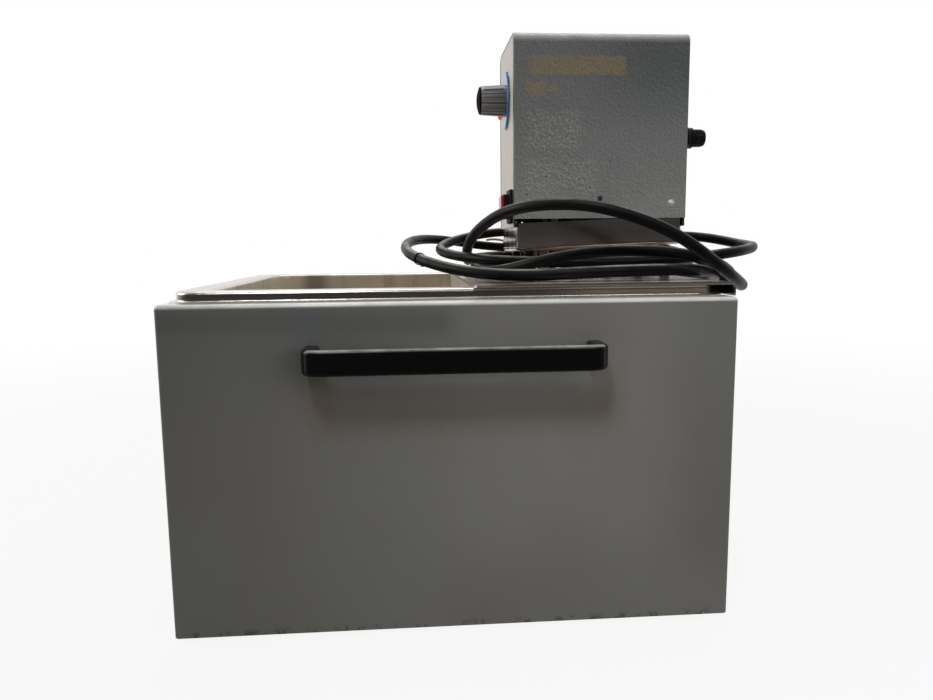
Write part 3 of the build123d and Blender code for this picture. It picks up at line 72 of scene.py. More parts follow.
# Mains lead: the stations of its four turns, in metres, with heading and climb in degrees
lead_start = Vector((0.2517, 0.032, 0.31865))
lead_radius = 0.005
lead_turns = [
    [(0.306, -0.026, 0.308, 262, -3), (0.152, -0.083, 0.2945, 175, -0.5),
     (0.0022, 0.0254, 0.3042, 106.5, 7), (0.125, 0.133, 0.3242, 18.6, -6.2)],
    [(0.264, -0.040, 0.289, 282, -14), (0.166, -0.1336, 0.305, 164, 2.2),
     (0.033, -0.0065, 0.2875, 95.8, 5.7), (0.120, 0.087, 0.291, 18, 12)],
    [(0.257, -0.060, 0.278, 255, 10), (0.0855, -0.1502, 0.2868, 161.1, -3.3),
     (-0.0345, 0.0187, 0.3133, 79.7, 9.1), (0.1351, 0.1236, 0.3066, 351.4, 0.7)],
    [(0.268, -0.093, 0.273, 257, -3), (0.0942, -0.1425, 0.3438, 150.5, 2.9),
     (0.0248, -0.0047, 0.3070, 88.3, -18.5), (0.095, 0.150, 0.299, 10, 0)],
]


def direction(heading, climb):
    level = cos(radians(climb))
    return Vector((level * cos(radians(heading)), level * sin(radians(heading)), sin(radians(climb))))


def lead_route():
    """The turns' points: two bends lead from each station to the next, each with two points."""
    stations = [(lead_start, Vector((1, 0, 0)))]
    for turn in lead_turns:
        for x, y, z, heading, climb in turn:
            stations.append((Vector((x, y, z)), direction(heading, climb)))
    points = [lead_start]
    for (place, way), (next_place, next_way) in zip(stations, stations[1:]):
        span = next_place - place
        spread = 2 * (1 - way.dot(next_way))
        pull = span.dot(way + next_way)
        reach = (sqrt(pull * pull + spread * span.dot(span)) - pull) / spread
        before, after = place + way * reach, next_place - next_way * reach
        middle_way = (after - before).normalized()
        middle = (before + after) / 2
        for start, start_way, end, end_way in ((place, way, middle, middle_way),
                                               (middle, middle_way, next_place, next_way)):
            angle = acos(max(-1, min(1, start_way.dot(end_way))))
            part = reach * tan(angle / 4) / tan(angle / 2)
            points += [start + start_way * part, end - end_way * part]
    return points + [stations[-1][0]]


def make_lead():
    """One smooth spline along the route; its points' radius is its thickness in metres."""
    data = bpy.data.curves.new("mains_lead_wound", "CURVE")
    data.dimensions = "3D"
    data.bevel_depth = 1.0
    data.bevel_resolution = 5
    data.use_fill_caps = True
    places = lead_route()
    spline = data.splines.new("NURBS")
    spline.points.add(len(places) - 1)
    for point, place in zip(spline.points, places):
        point.co = (*place, 1)
        point.radius = lead_radius
    spline.order_u = 3
    spline.use_endpoint_u = True
    spline.resolution_u = 8
    curve = bpy.data.objects.new("mains_lead_wound", data)
    scene.collection.objects.link(curve)
    return curve


# Ties on the lead, and the seal in the pan
upward = Vector((0, 0, 1))
section_corners = 12
ring_steps = 32
tie_width = 0.0026


def full_turn(steps):
    return [2 * pi * k / steps for k in range(steps)]


def strip_section(width, thickness):
    """A strip's section: an oval whose two ends stand out a little."""
    section = []
    for angle in full_turn(section_corners):
        share = 1 if abs(cos(angle)) > 0.9 else 0.92
        section.append((cos(angle) * width / 2 * share, sin(angle) * thickness / 2))
    return section


def sweep(work, places, ways, lifts, width, thickness, closed=False):
    """Sweeps a strip along the places, with its flat side towards the lifts."""
    section = strip_section(width, thickness)
    rings = []
    for place, way, lift in zip(places, ways, lifts):
        across = way.cross(lift).normalized()
        rings.append([work.verts.new(place + across * u + lift * v) for u, v in section])
    pairs = list(zip(rings, rings[1:]))
    if closed:
        pairs.append((rings[-1], rings[0]))
    for first, second in pairs:
        for k in range(section_corners):
            work.faces.new((first[k], first[k - 1], second[k - 1], second[k]))
    if not closed:
        work.faces.new(rings[0])
        work.faces.new(rings[-1][::-1])


def lead_points():
    """Points along the middle of the lead's spline."""
    bare = lead.copy()
    bare.data = lead.data.copy()
    bare.data.bevel_depth = 0
    points = [vertex.co.copy() for vertex in bpy.data.meshes.new_from_object(bare).vertices]
    bpy.data.objects.remove(bare)
    return points


def tie_head(work, place, width):
    """The tie's head, a block with rounded edges."""
    length = width * 1.7
    height = width * 1.3
    block = bmesh.ops.create_cube(work, size=1.0)["verts"]
    bmesh.ops.scale(work, vec=(length, length, height), verts=block)
    bmesh.ops.translate(work, vec=place, verts=block)
    edges = list(dict.fromkeys(edge for vertex in block for edge in vertex.link_edges))
    bmesh.ops.bevel(work, geom=edges, offset=0.0007, segments=3, affect="EDGES", profile=0.5)


def ring_round_lead(work, place, width, thickness, towards):
    """A tie round the lead where it runs nearest to a place, with its head; returns the head's place."""
    points = lead_points()
    near = min(range(1, len(points) - 1), key=lambda k: (points[k] - place).length)
    middle = points[near]
    way = (points[near + 1] - points[near - 1]).normalized()
    up = (towards - way * way.dot(towards)).normalized()
    side = way.cross(up)
    angles = full_turn(ring_steps)
    lifts = [up * cos(angle) + side * sin(angle) for angle in angles]
    ways = [side * cos(angle) - up * sin(angle) for angle in angles]
    ring_radius = lead_radius + thickness * 0.7
    head_radius = lead_radius + thickness * 2.4
    places = [middle + lift * ring_radius for lift in lifts]
    sweep(work, places, ways, lifts, width, thickness, closed=True)
    head = middle + up * head_radius
    tie_head(work, head, width)
    return head


def new_piece(name, work):
    """Makes a smooth piece of the work, which rides on the circulator."""
    data = bpy.data.meshes.new(name)
    work.to_mesh(data)
    work.free()
    piece = bpy.data.objects.new(name, data)
    scene.collection.objects.link(piece)
    for face in data.polygons:
        face.use_smooth = True
    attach(piece, "circulator")
    return piece


def tail_tie():
    """The yellow tie on the lead, whose tail sticks out to the left in a slight bow."""
    tail_length = 0.022
    tail_bow = 0.0012
    tail_steps = 10
    work = bmesh.new()
    place = Vector((0.076, 0.1225, 0.3085))
    head = ring_round_lead(work, place, tie_width, thickness=0.0010, towards=upward)
    left = Vector((-1, -0.12, 0.06)).normalized()
    run = [head + left * tail_length * k / tail_steps + upward * (tail_bow * sin(pi * k / tail_steps))
           for k in range(tail_steps + 1)]
    lifts = [Vector((0, -0.92, 0.39))] * len(run)
    sweep(work, run, [left] * len(run), lifts, width=0.0028, thickness=0.0013)
    return new_piece("tie_tail", work)


def lead_strap():
    """The black tie on the lead, with its head turned to the back."""
    low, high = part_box("lead_tie")
    work = bmesh.new()
    place = (Vector(low) + Vector(high)) / 2
    ring_round_lead(work, place, tie_width, thickness=0.0008, towards=Vector((0, 1, -0.5)))
    return new_piece("lead_strap", work)


def edge_seal():
    """A dark rubber strip inside the left wall of the head's pan."""
    work = bmesh.new()
    run = [Vector((0.0722, y, 0.3285)) for y in (-0.0465, -0.030, 0.0, 0.030, 0.0465)]
    ways = [Vector((0, 1, 0))] * len(run)
    lifts = [Vector((1, 0, 0))] * len(run)
    sweep(work, run, ways, lifts, width=0.0088, thickness=0.0046)
    return new_piece("edge_seal", work)


lead = make_lead()
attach(lead, "circulator")
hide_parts("mains_lead")
seal = edge_seal()
tail = tail_tie()
strap = lead_strap()
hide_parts("lead_tie")

# Materials: axes by name, and the numbers of the Mix node's sockets (first, second, result)
X, Y, Z = range(3)
mix_sockets = {"FLOAT": (2, 3, 0), "RGBA": (6, 7, 2)}


class Nodes:
    """A node tree, built from small steps that return sockets."""

    def __init__(self, tree):
        self.tree = tree

    def add(self, kind, **settings):
        node = self.tree.nodes.new(kind)
        for key, value in settings.items():
            setattr(node, key, value)
        return node

    def join(self, value, socket):
        if isinstance(value, bpy.types.NodeSocket):
            self.tree.links.new(value, socket)
        else:
            socket.default_value = value

    def math(self, operation, first, second=0.0):
        node = self.add("ShaderNodeMath", operation=operation)
        self.join(first, node.inputs[0])
        self.join(second, node.inputs[1])
        return node.outputs[0]

    def product(self, first, *others):
        for other in others:
            first = self.math("MULTIPLY", first, other)
        return first

    def most(self, first, *others):
        for other in others:
            first = self.math("MAXIMUM", first, other)
        return first

    def step(self, value, low, high, start=0.0, end=1.0):
        """Goes smoothly from start to end while the value goes from low to high."""
        node = self.add("ShaderNodeMapRange", interpolation_type="SMOOTHSTEP", clamp=True)
        for part, socket in zip((value, low, high, start, end), node.inputs):
            self.join(part, socket)
        return node.outputs[0]

    def mix(self, kind, share, before, after):
        first, second, result = mix_sockets[kind]
        node = self.add("ShaderNodeMix", data_type=kind)
        self.join(share, node.inputs["Factor"])
        self.join(before, node.inputs[first])
        self.join(after, node.inputs[second])
        return node.outputs[result]

    def rays(self):
        """One for a camera ray, and one for a ray from a mirror or through glass."""
        path = self.add("ShaderNodeLightPath")
        mirrored = self.most(path.outputs["Is Glossy Ray"], path.outputs["Is Transmission Ray"])
        return path.outputs["Is Camera Ray"], mirrored


class Finish(Nodes):
    """One procedural material: layers of colour, roughness, metal and height, placed in metres."""

    def __init__(self, name, colour, rough, metal=0.0):
        self.material = bpy.data.materials.new(name)
        self.material.use_nodes = True
        super().__init__(self.material.node_tree)
        self.shader = self.tree.nodes["Principled BSDF"]
        self.fix("Base Color", (*colour, 1))
        self.fix("Roughness", rough)
        self.fix("Metallic", metal)
        self.place = self.add("ShaderNodeTexCoord").outputs["Object"]
        self.layers = {}
        self.height = None

    def fix(self, name, value):
        """Sets a value that is the same all over."""
        self.shader.inputs[name].default_value = value

    def axis(self, index):
        node = self.add("ShaderNodeSeparateXYZ")
        self.join(self.place, node.inputs[0])
        return node.outputs[index]

    def along(self, index, low, high, start=0.0, end=1.0):
        """A step along an axis."""
        return self.step(self.axis(index), low, high, start, end)

    def outward(self, index, low, high):
        """A step along an axis, away from the middle to both sides."""
        return self.step(self.math("ABSOLUTE", self.axis(index)), low, high)

    def facing_up(self, low, high):
        """A step in how far the surface faces up."""
        normal = self.add("ShaderNodeSeparateXYZ")
        self.join(self.add("ShaderNodeNewGeometry").outputs["Normal"], normal.inputs[0])
        return self.step(normal.outputs[Z], low, high)

    def distance(self, first_axis, first, second_axis, second):
        """Distance from a line along the third axis."""
        first_square = self.math("POWER", self.math("SUBTRACT", self.axis(first_axis), first), 2.0)
        second_square = self.math("POWER", self.math("SUBTRACT", self.axis(second_axis), second), 2.0)
        return self.math("SQRT", self.math("ADD", first_square, second_square))

    def angle(self, y, z):
        """Angle round a line along X."""
        from_y = self.math("SUBTRACT", self.axis(Y), y)
        from_z = self.math("SUBTRACT", self.axis(Z), z)
        return self.math("ARCTAN2", from_y, from_z)

    def noise(self, scale, detail=3.0, rough=0.55, vector=None):
        node = self.add("ShaderNodeTexNoise")
        self.join(vector or self.place, node.inputs["Vector"])
        node.inputs["Scale"].default_value = scale
        node.inputs["Detail"].default_value = detail
        node.inputs["Roughness"].default_value = rough
        return node.outputs["Fac"]

    def patches(self, scale, detail, low, high, start=0.0, end=1.0):
        """Patches of a noise, with soft edges."""
        return self.step(self.noise(scale, detail), low, high, start, end)

    def streaks(self, x, y, z, detail=2, rough=0.5):
        """A noise with its own scale along each axis."""
        node = self.add("ShaderNodeMapping")
        node.inputs["Scale"].default_value = (x, y, z)
        self.join(self.place, node.inputs["Vector"])
        return self.noise(1.0, detail, rough, node.outputs[0])

    def shifted(self, scale, metres):
        """The place, shifted by a noise, so that a cell pattern loses its regular look."""
        noise = self.add("ShaderNodeTexNoise")
        self.join(self.place, noise.inputs["Vector"])
        noise.inputs["Scale"].default_value = scale
        node = self.add("ShaderNodeVectorMath", operation="MULTIPLY_ADD")
        self.join(noise.outputs["Color"], node.inputs[0])
        node.inputs[1].default_value = (metres, metres, metres)
        self.join(self.place, node.inputs[2])
        return node.outputs[0]

    def cells(self, scale, feature="F1", vector=None, smooth=None):
        node = self.add("ShaderNodeTexVoronoi", feature=feature)
        self.join(vector or self.place, node.inputs["Vector"])
        node.inputs["Scale"].default_value = scale
        if smooth is not None:
            node.inputs["Smoothness"].default_value = smooth
        return node.outputs["Distance"]

    def specks(self, scale, outer, inner, patch_scale, low, high):
        """Round specks that lie in patches."""
        return self.product(self.step(self.cells(scale), outer, inner),
                            self.patches(patch_scale, 3, low, high))

    def ripples(self, value, pitch):
        return self.math("SINE", self.product(value, 2 * pi / pitch))

    def box(self, lows, highs, edge, ragged=0.0):
        """One inside a box given by its corners along X, Y, Z, with None for an open side."""
        wander = 0.0
        if ragged:
            wander = self.product(self.math("SUBTRACT", self.noise(140, 4), 0.5), ragged)
        sides = []
        for index, (low, high) in enumerate(zip(lows, highs)):
            if low is None:
                continue
            at = self.math("ADD", self.axis(index), wander)
            sides.append(self.step(at, low - edge, low + edge))
            sides.append(self.step(at, high + edge, high - edge))
        return self.product(*sides)

    def lay(self, name, kind, share, value):
        """Mixes a value over what one of the shader's sockets has so far, by share."""
        start = self.shader.inputs[name].default_value
        before = self.layers.get(name, tuple(start) if kind == "RGBA" else start)
        self.layers[name] = self.mix(kind, share, before, value)

    def paint(self, share, colour):
        self.lay("Base Color", "RGBA", share, (*colour, 1))

    def roughen(self, share, value):
        self.lay("Roughness", "FLOAT", share, value)

    def dull(self, share, value):
        """Turns the metal to a film of that metalness, by share."""
        self.lay("Metallic", "FLOAT", share, value)

    def raise_by(self, value, metres):
        part = self.product(value, metres)
        self.height = part if self.height is None else self.math("ADD", self.height, part)

    def done(self):
        for name, layer in self.layers.items():
            self.join(layer, self.shader.inputs[name])
        if self.height is not None:
            bump = self.add("ShaderNodeBump")
            bump.inputs["Strength"].default_value = 1.0
            bump.inputs["Distance"].default_value = 1.0
            self.join(self.height, bump.inputs["Height"])
            self.join(bump.outputs[0], self.shader.inputs["Normal"])
        return self.material


# Casing
def on_front(f, left, right, low, high, edge, ragged=0.0):
    """An upright rectangle on the casing's front face."""
    return f.box((left, -0.2, low), (right, -0.18, high), edge, ragged)


def casing_paint():
    f = Finish("casing_paint", (0.150, 0.148, 0.136), 0.34)
    f.paint(f.patches(5, 3, 0.35, 0.75, 0, 0.5), (0.118, 0.112, 0.100))
    f.paint(f.patches(38, 5, 0.62, 0.82, 0, 0.35), (0.185, 0.18, 0.165))
    casing_chips(f)
    casing_painted_light(f)
    casing_handle_shadow_and_smudge(f)
    # Painted highlight: the casing's top fold is painted pale where light and the bright surroundings catch
    # it, and it is made smoother there.
    fold = f.along(Z, 0.2648, 0.2678)
    f.paint(f.product(fold, f.patches(50, 4, 0.25, 0.75, 0.75, 0.97)), (0.74, 0.74, 0.69))
    f.roughen(f.patches(9, 4, 0.35, 0.7), 0.52)
    f.roughen(fold, 0.18)
    f.raise_by(f.noise(700, 2), 0.00008)
    f.raise_by(f.noise(60, 2), 0.00012)
    return f.done()


def casing_chips(f):
    """Chips along the upright corners and the foot, and small specks."""
    corners = f.product(f.outward(X, 0.2222, 0.2249), f.outward(Y, 0.1874, 0.1899))
    foot = f.product(f.along(Z, 0.012, 0.005), 0.8)
    f.paint(f.product(f.most(corners, foot), f.patches(160, 6, 0.53, 0.6)), (0.045, 0.032, 0.024))
    f.paint(f.product(f.specks(34, 0.045, 0.03, 12, 0.52, 0.6), 0.7), (0.05, 0.045, 0.04))


def casing_painted_light(f):
    """Painted light: a pale pool of light right of the front's middle, and painted shade at its left, right
    and top.
    """
    light_pool = on_front(f, -0.02, 0.19, 0.06, 0.262, 0.055)
    # Painted pool of light, mottled.
    f.paint(f.product(light_pool, f.patches(7, 3, 0.3, 0.7, 0.5, 0.9)), (0.215, 0.212, 0.195))
    left_dim = f.product(on_front(f, -0.3, -0.03, 0.19, 0.3, 0.06), 0.85)
    right_dim = f.product(on_front(f, 0.175, 0.30, 0.05, 0.3, 0.03), 0.5)
    top_dim = f.product(on_front(f, -0.3, 0.0, 0.243, 0.266, 0.012), 0.6)
    # Painted shade on the dim parts.
    f.paint(f.most(left_dim, right_dim, top_dim), (0.074, 0.073, 0.070))


def casing_handle_shadow_and_smudge(f):
    """Painted brown shadow of the handle below its bar and beside its feet, and a bluish smudge above its
    left end.
    """
    under_handle = (-0.110, 0.128, 0.1655, 0.1960, 0.5)
    left_foot = (-0.120, -0.092, 0.180, 0.2120, 0.45)
    right_foot = (0.116, 0.134, 0.180, 0.2200, 0.25)
    for left, right, low, high, share in (under_handle, left_foot, right_foot):
        handle_shadow = on_front(f, left, right, low, high, 0.011, 0.01)
        # Painted shadow of the handle, in brown.
        f.paint(f.product(handle_shadow, share), (0.118, 0.088, 0.062))
    smudge = on_front(f, -0.124, -0.103, 0.238, 0.266, 0.012)
    f.paint(f.product(smudge, 0.42), (0.085, 0.105, 0.125))


# Head
def on_cover(f, left, right, low, high, edge, ragged):
    """An upright rectangle on the cover's front and back."""
    return f.box((left, None, low), (right, None, high), edge, ragged)


def cover_paint():
    f = Finish("cover_paint", (0.148, 0.156, 0.152), 0.36)
    f.paint(f.patches(7, 4, 0.4, 0.75, 0, 0.45), (0.118, 0.122, 0.118))
    # Painted light and shade: the cover is painted paler towards its foot and darker at the top of its
    # right part.
    pale_foot = f.product(f.along(Z, 0.44, 0.33), f.patches(16, 4, 0.25, 0.7, 0.5, 1))
    f.paint(pale_foot, (0.215, 0.22, 0.208))
    dark_top = f.product(f.along(Z, 0.40, 0.48, 0, 0.95), f.along(X, 0.1, 0.2, 0.25, 1))
    f.paint(dark_top, (0.080, 0.085, 0.086))
    front = f.along(Y, -0.049, -0.051)
    glue = cover_glue(f, front)
    worn = cover_worn(f, front)
    f.paint(f.product(f.specks(40, 0.06, 0.035, 17, 0.55, 0.62), 0.85), (0.04, 0.037, 0.034))
    # Painted highlight along the cover's top folds.
    fold_highlight = f.product(f.along(Z, 0.4940, 0.5025), f.outward(Y, 0.036, 0.046))
    f.paint(f.product(fold_highlight, f.patches(60, 4, 0.25, 0.75, 0.6, 0.95)), (0.60, 0.60, 0.57))
    cover_holes(f, front)
    f.roughen(glue, 0.62)
    f.roughen(f.patches(200, 3, 0.4, 0.7, 0, 0.6), 0.46)
    hammered = f.cells(400, "SMOOTH_F1", f.shifted(210, 0.0048), 0.75)
    f.raise_by(f.product(hammered, f.math("ADD", 1, f.product(worn, 0.8))), 0.00060)
    f.raise_by(f.noise(520, 2), 0.00018)
    return f.done()


def cover_glue(f, front):
    """Tan glue where a long label and a small one were, with a scrap beside it."""
    long_label = on_cover(f, 0.0790, 0.1700, 0.4660, 0.4825, 0.0011, 0.006)
    small_label = on_cover(f, 0.0770, 0.0940, 0.4462, 0.4606, 0.0012, 0.012)
    scrap = on_cover(f, 0.0985, 0.1045, 0.4505, 0.4585, 0.0012, 0.010)
    glue = f.product(f.most(long_label, small_label, scrap), front)
    f.paint(f.product(glue, f.patches(480, 4, 0.36, 0.62, 0.35, 1), 0.9), (0.235, 0.175, 0.092))
    return glue


def cover_worn(f, front):
    """Two pale worn patches where labels were."""
    upper = on_cover(f, 0.077, 0.1280, 0.3985, 0.4320, 0.004, 0.02)
    lower = on_cover(f, 0.076, 0.1420, 0.3480, 0.3890, 0.005, 0.02)
    worn = f.product(f.most(upper, lower), front)
    f.paint(f.product(worn, f.patches(420, 4, 0.45, 0.62, 0.02, 0.75)), (0.27, 0.27, 0.235))
    return worn


def cover_holes(f, front):
    """One dark hole and four dark dots in the cover's front, by place and radius."""
    holes = ((0.1470, 0.3535, 0.0030), (0.1140, 0.3860, 0.0008), (0.1378, 0.3638, 0.0007),
             (0.0960, 0.3740, 0.0008), (0.1562, 0.3878, 0.0007))
    for x, z, radius in holes:
        hole = f.step(f.distance(X, x, Z, z), radius, radius * 0.7)
        f.paint(f.product(front, hole), (0.012, 0.011, 0.01))


def panel_paint():
    f = Finish("panel_paint", (0.63, 0.565, 0.485), 0.4)
    f.paint(f.patches(30, 4, 0.5, 0.8, 0, 0.35), (0.50, 0.44, 0.375))
    # Painted shade along both sides of the panel, for the shadowed gap between panel and cover: a dark
    # brown edge, all covered by near black.
    edge = f.product(f.outward(Y, 0.046, 0.0505), f.patches(90, 5, 0.5, 0.7, 0, 0.5))
    f.paint(edge, (0.32, 0.27, 0.22))
    f.paint(f.product(f.step(f.cells(60), 0.05, 0.03), 0.5), (0.2, 0.17, 0.14))
    f.paint(f.outward(Y, 0.0448, 0.0456), (0.02, 0.017, 0.015))
    f.roughen(f.patches(22, 4, 0.35, 0.7), 0.52)
    f.raise_by(f.noise(800, 2), 0.00005)
    return f.done()


# Tank, bridge plate and pan
def stainless():
    f = Finish("stainless", (0.60, 0.575, 0.54), 0.22, 1.0)
    f.paint(f.patches(14, 5, 0.42, 0.72, 0, 0.55), (0.46, 0.425, 0.375))
    inside = f.box((-0.197, -0.158, 0.0), (0.197, 0.158, 0.2775), 0.0012)
    f.paint(f.product(inside, f.patches(26, 5, 0.3, 0.75, 0.45, 0.95)), (0.82, 0.71, 0.55))
    f.dull(f.product(inside, f.patches(18, 4, 0.3, 0.7, 0.6, 1.0)), 0.35)
    plate_streaks(f)
    front_bead_reflections(f)
    plate_front(f)
    drops = water_marks(f, inside)
    grain = f.streaks(36, 700, 700, 4, 0.6)
    f.roughen(f.product(inside, 0.8), 0.34)
    f.roughen(f.product(drops, 0.6), 0.45)
    f.roughen(f.step(grain, 0.35, 0.7, 0, 0.35), 0.36)
    f.raise_by(grain, 0.000018)
    f.raise_by(f.noise(16, 2), 0.00022)
    return f.done()


def plate_streaks(f):
    """Dull brown streaks along the top of the bridge plate: partly its grain, partly painted reflections.
    """
    streaks = f.streaks(3, 260, 420)
    on_top = f.box((-0.23, -0.20, 0.2785), (0.23, 0.20, 0.30), 0.0008)
    # Painted reflections along the grain.
    f.paint(f.product(on_top, f.step(streaks, 0.35, 0.65, 0.1, 0.7)), (0.56, 0.45, 0.36))
    f.dull(f.product(on_top, f.step(streaks, 0.45, 0.7, 0.1, 0.6)), 0.4)


def front_bead_reflections(f):
    """The rim's front bead, with painted reflections: painted dark, with a painted warm reflection and a
    painted highlight line at the right, and a painted highlight along its foot.
    """
    bead = f.box((-0.23, -0.20, 0.2712), (0.23, -0.170, 0.2760), 0.0006)
    # Painted dark reflection of the surroundings in front.
    f.paint(f.product(bead, 0.9), (0.21, 0.175, 0.155))
    at_right = f.product(f.along(X, 0.045, 0.13), f.along(X, 0.207, 0.202))
    # Painted warm reflection.
    warm_reflection = f.product(at_right, f.box((None, -0.20, 0.2718), (None, -0.170, 0.2754), 0.0007))
    f.paint(f.product(warm_reflection, f.step(f.streaks(16, 40, 500), 0.3, 0.6, 0.35, 1)), (0.40, 0.31, 0.21))
    f.dull(f.product(warm_reflection, 0.7), 0.3)
    # Painted highlight along the bead's top.
    highlight_line = f.product(at_right, f.box((None, -0.20, 0.2763), (None, -0.170, 0.2779), 0.0004))
    foot = f.box((-0.24, -0.20, 0.2683), (0.24, -0.170, 0.2709), 0.0003)
    # Painted highlights: the line at the top and a fainter one along the foot.
    pale_highlights = f.most(highlight_line, f.product(foot, 0.3))
    f.paint(pale_highlights, (0.86, 0.82, 0.74))
    f.dull(pale_highlights, 0.25)


def plate_front(f):
    """The bridge plate's top in front of the head: a painted dark reflection, with two painted highlight
    lines along it.
    """
    on_top = f.along(Z, 0.2794, 0.2798)
    # Painted dark reflection on the plate's top.
    strip = f.product(on_top, f.box((0.03, -0.19, None), (0.24, -0.105, None), 0.006))
    f.paint(f.product(strip, 0.75), (0.13, 0.105, 0.085))
    highlight_lines = f.most(f.box((0.05, -0.172, None), (0.22, -0.153, None), 0.003),
                   f.box((0.05, -0.126, None), (0.22, -0.116, None), 0.003))
    # Painted highlights along the two lines.
    shine = f.product(on_top, highlight_lines, f.step(f.streaks(12, 200, 200), 0.3, 0.6, 0.35, 1))
    f.paint(shine, (0.74, 0.69, 0.60))
    f.dull(shine, 0.3)


def water_marks(f, inside):
    """A water line, drops, a dark part and runs on the tank's walls; returns the drops."""
    level = f.math("ADD", f.axis(Z), f.product(f.noise(20, 4), 0.012))
    line = f.product(f.step(level, 0.2485, 0.2505), f.step(level, 0.2535, 0.2515))
    f.paint(f.product(line, inside, 0.55), (0.66, 0.62, 0.55))
    drops = f.product(f.specks(75, 0.13, 0.1, 31, 0.5, 0.6), inside)
    f.paint(f.product(drops, 0.4), (0.66, 0.63, 0.57))
    shade = f.step(f.math("ABSOLUTE", f.math("ADD", f.axis(X), 0.146)), 0.022, 0.004)
    runs = f.step(f.streaks(60, 60, 5, 3), 0.5, 0.75, 0, 0.45)
    f.paint(f.product(inside, f.most(f.product(shade, 0.72), runs)), (0.21, 0.18, 0.145))
    return drops


def tray_zinc():
    f = Finish("tray_zinc", (0.275, 0.258, 0.246), 0.17, 1.0)
    f.paint(f.patches(18, 4, 0.4, 0.75, 0, 0.5), (0.185, 0.168, 0.156))
    # Painted warm reflection on the pan's lower part.
    warm_reflection_foot = f.product(f.along(Z, 0.3225, 0.303), f.patches(45, 4, 0.3, 0.7, 0.45, 0.95))
    f.paint(warm_reflection_foot, (0.68, 0.53, 0.43))
    # Painted reflections: dark and pale upright bands on the pan's left end.
    left_end = f.along(X, 0.0715, 0.0695)
    reflection_bands = f.streaks(6, 62, 7)
    f.paint(f.product(left_end, f.step(reflection_bands, 0.38, 0.56, 0.9, 0)), (0.14, 0.135, 0.13))
    f.paint(f.product(left_end, f.step(reflection_bands, 0.46, 0.64)), (0.80, 0.79, 0.76))
    # Painted shade under the pan's bottom edge.
    f.paint(f.along(Z, 0.3056, 0.3050), (0.03, 0.027, 0.025))
    grain = f.streaks(30, 30, 620, 4, 0.6)
    f.roughen(f.step(grain, 0.35, 0.7, 0, 0.5), 0.26)
    f.raise_by(grain, 0.00001)
    f.raise_by(f.noise(40, 2), 0.00008)
    return f.done()


# Rubber and plastic
def black_rubber():
    f = Finish("black_rubber", (0.0022, 0.0022, 0.0028), 0.36)
    f.fix("Specular IOR Level", 0.14)
    f.paint(f.patches(34, 5, 0.42, 0.72, 0, 0.5), (0.006, 0.0058, 0.0057))
    f.paint(f.patches(420, 4, 0.62, 0.8, 0, 0.3), (0.035, 0.033, 0.030))
    # Pale dust on the upward faces, which also stands in for a painted sheen of light from above along the
    # lead's top.
    dust = f.product(f.facing_up(0.62, 1.0), f.patches(30, 5, 0.38, 0.62, 0.25, 1),
                     f.patches(900, 3, 0.3, 0.7, 0.35, 0.75))
    f.paint(dust, (0.46, 0.43, 0.38))
    f.roughen(f.patches(50, 4, 0.35, 0.7), 0.52)
    f.raise_by(f.noise(700, 3), 0.00012)
    f.raise_by(f.noise(90, 2), 0.0003)
    return f.done()


def moulded(name, colour, rough, dust=(0.1, 0.095, 0.09), shine=0.5):
    f = Finish(name, colour, rough)
    f.fix("Specular IOR Level", shine)
    f.paint(f.patches(60, 5, 0.5, 0.8, 0, 0.3), dust)
    f.roughen(f.patches(120, 4, 0.4, 0.7), min(0.9, rough + 0.14))
    f.raise_by(f.noise(1100, 2), 0.00005)
    return f


def handle_plastic():
    f = Finish("handle_plastic", (0.0008, 0.0008, 0.0011), 0.22)
    f.fix("Specular IOR Level", 0.25)
    f.paint(f.patches(70, 5, 0.5, 0.8, 0, 0.5), (0.0035, 0.0034, 0.0034))
    # Pale dust on the handle's top, which also serves as a painted highlight along it.
    dust = f.product(f.facing_up(0.35, 0.9), f.outward(Y, 0.2155, 0.2175),
                     f.patches(45, 4, 0.35, 0.65, 0.4, 0.95))
    f.paint(dust, (0.30, 0.293, 0.28))
    f.roughen(dust, 0.4)
    f.roughen(f.patches(45, 3, 0.4, 0.7, 0, 0.6), 0.30)
    f.raise_by(f.noise(900, 2), 0.000003)
    return f.done()


def fuse_black():
    """Black plastic with fine ribs round the fuse's cap."""
    f = moulded("fuse_black", (0.0025, 0.0024, 0.0025), 0.42, (0.012, 0.011, 0.0105), 0.16)
    low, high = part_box("fuse_cap")
    angle = f.angle((low[Y] + high[Y]) / 2, (low[Z] + high[Z]) / 2)
    wave = f.math("SINE", f.product(angle, 26))
    ribs = f.product(f.step(wave, -0.4, 0.4), f.along(X, 0.2405, 0.2415))
    f.paint(f.product(ribs, 0.5), (0.022, 0.021, 0.020))
    f.raise_by(ribs, 0.0004)
    return f.done()


def tie_yellow():
    f = moulded("tie_yellow", (0.72, 0.53, 0.05), 0.4, (0.5, 0.33, 0.05))
    f.raise_by(f.ripples(f.axis(X), 0.0012), 0.00015)
    return f.done()


def insulation_foam():
    f = Finish("insulation_foam", (0.68, 0.60, 0.40), 0.9)
    f.paint(f.patches(60, 5, 0.4, 0.7, 0, 0.7), (0.52, 0.42, 0.24))
    f.roughen(f.patches(200, 3, 0.4, 0.7), 0.98)
    f.raise_by(f.cells(420), 0.0009)
    return f.done()


# Knob, dial and lamps; the knob's axis runs along X at this height
knob_height = 0.4515


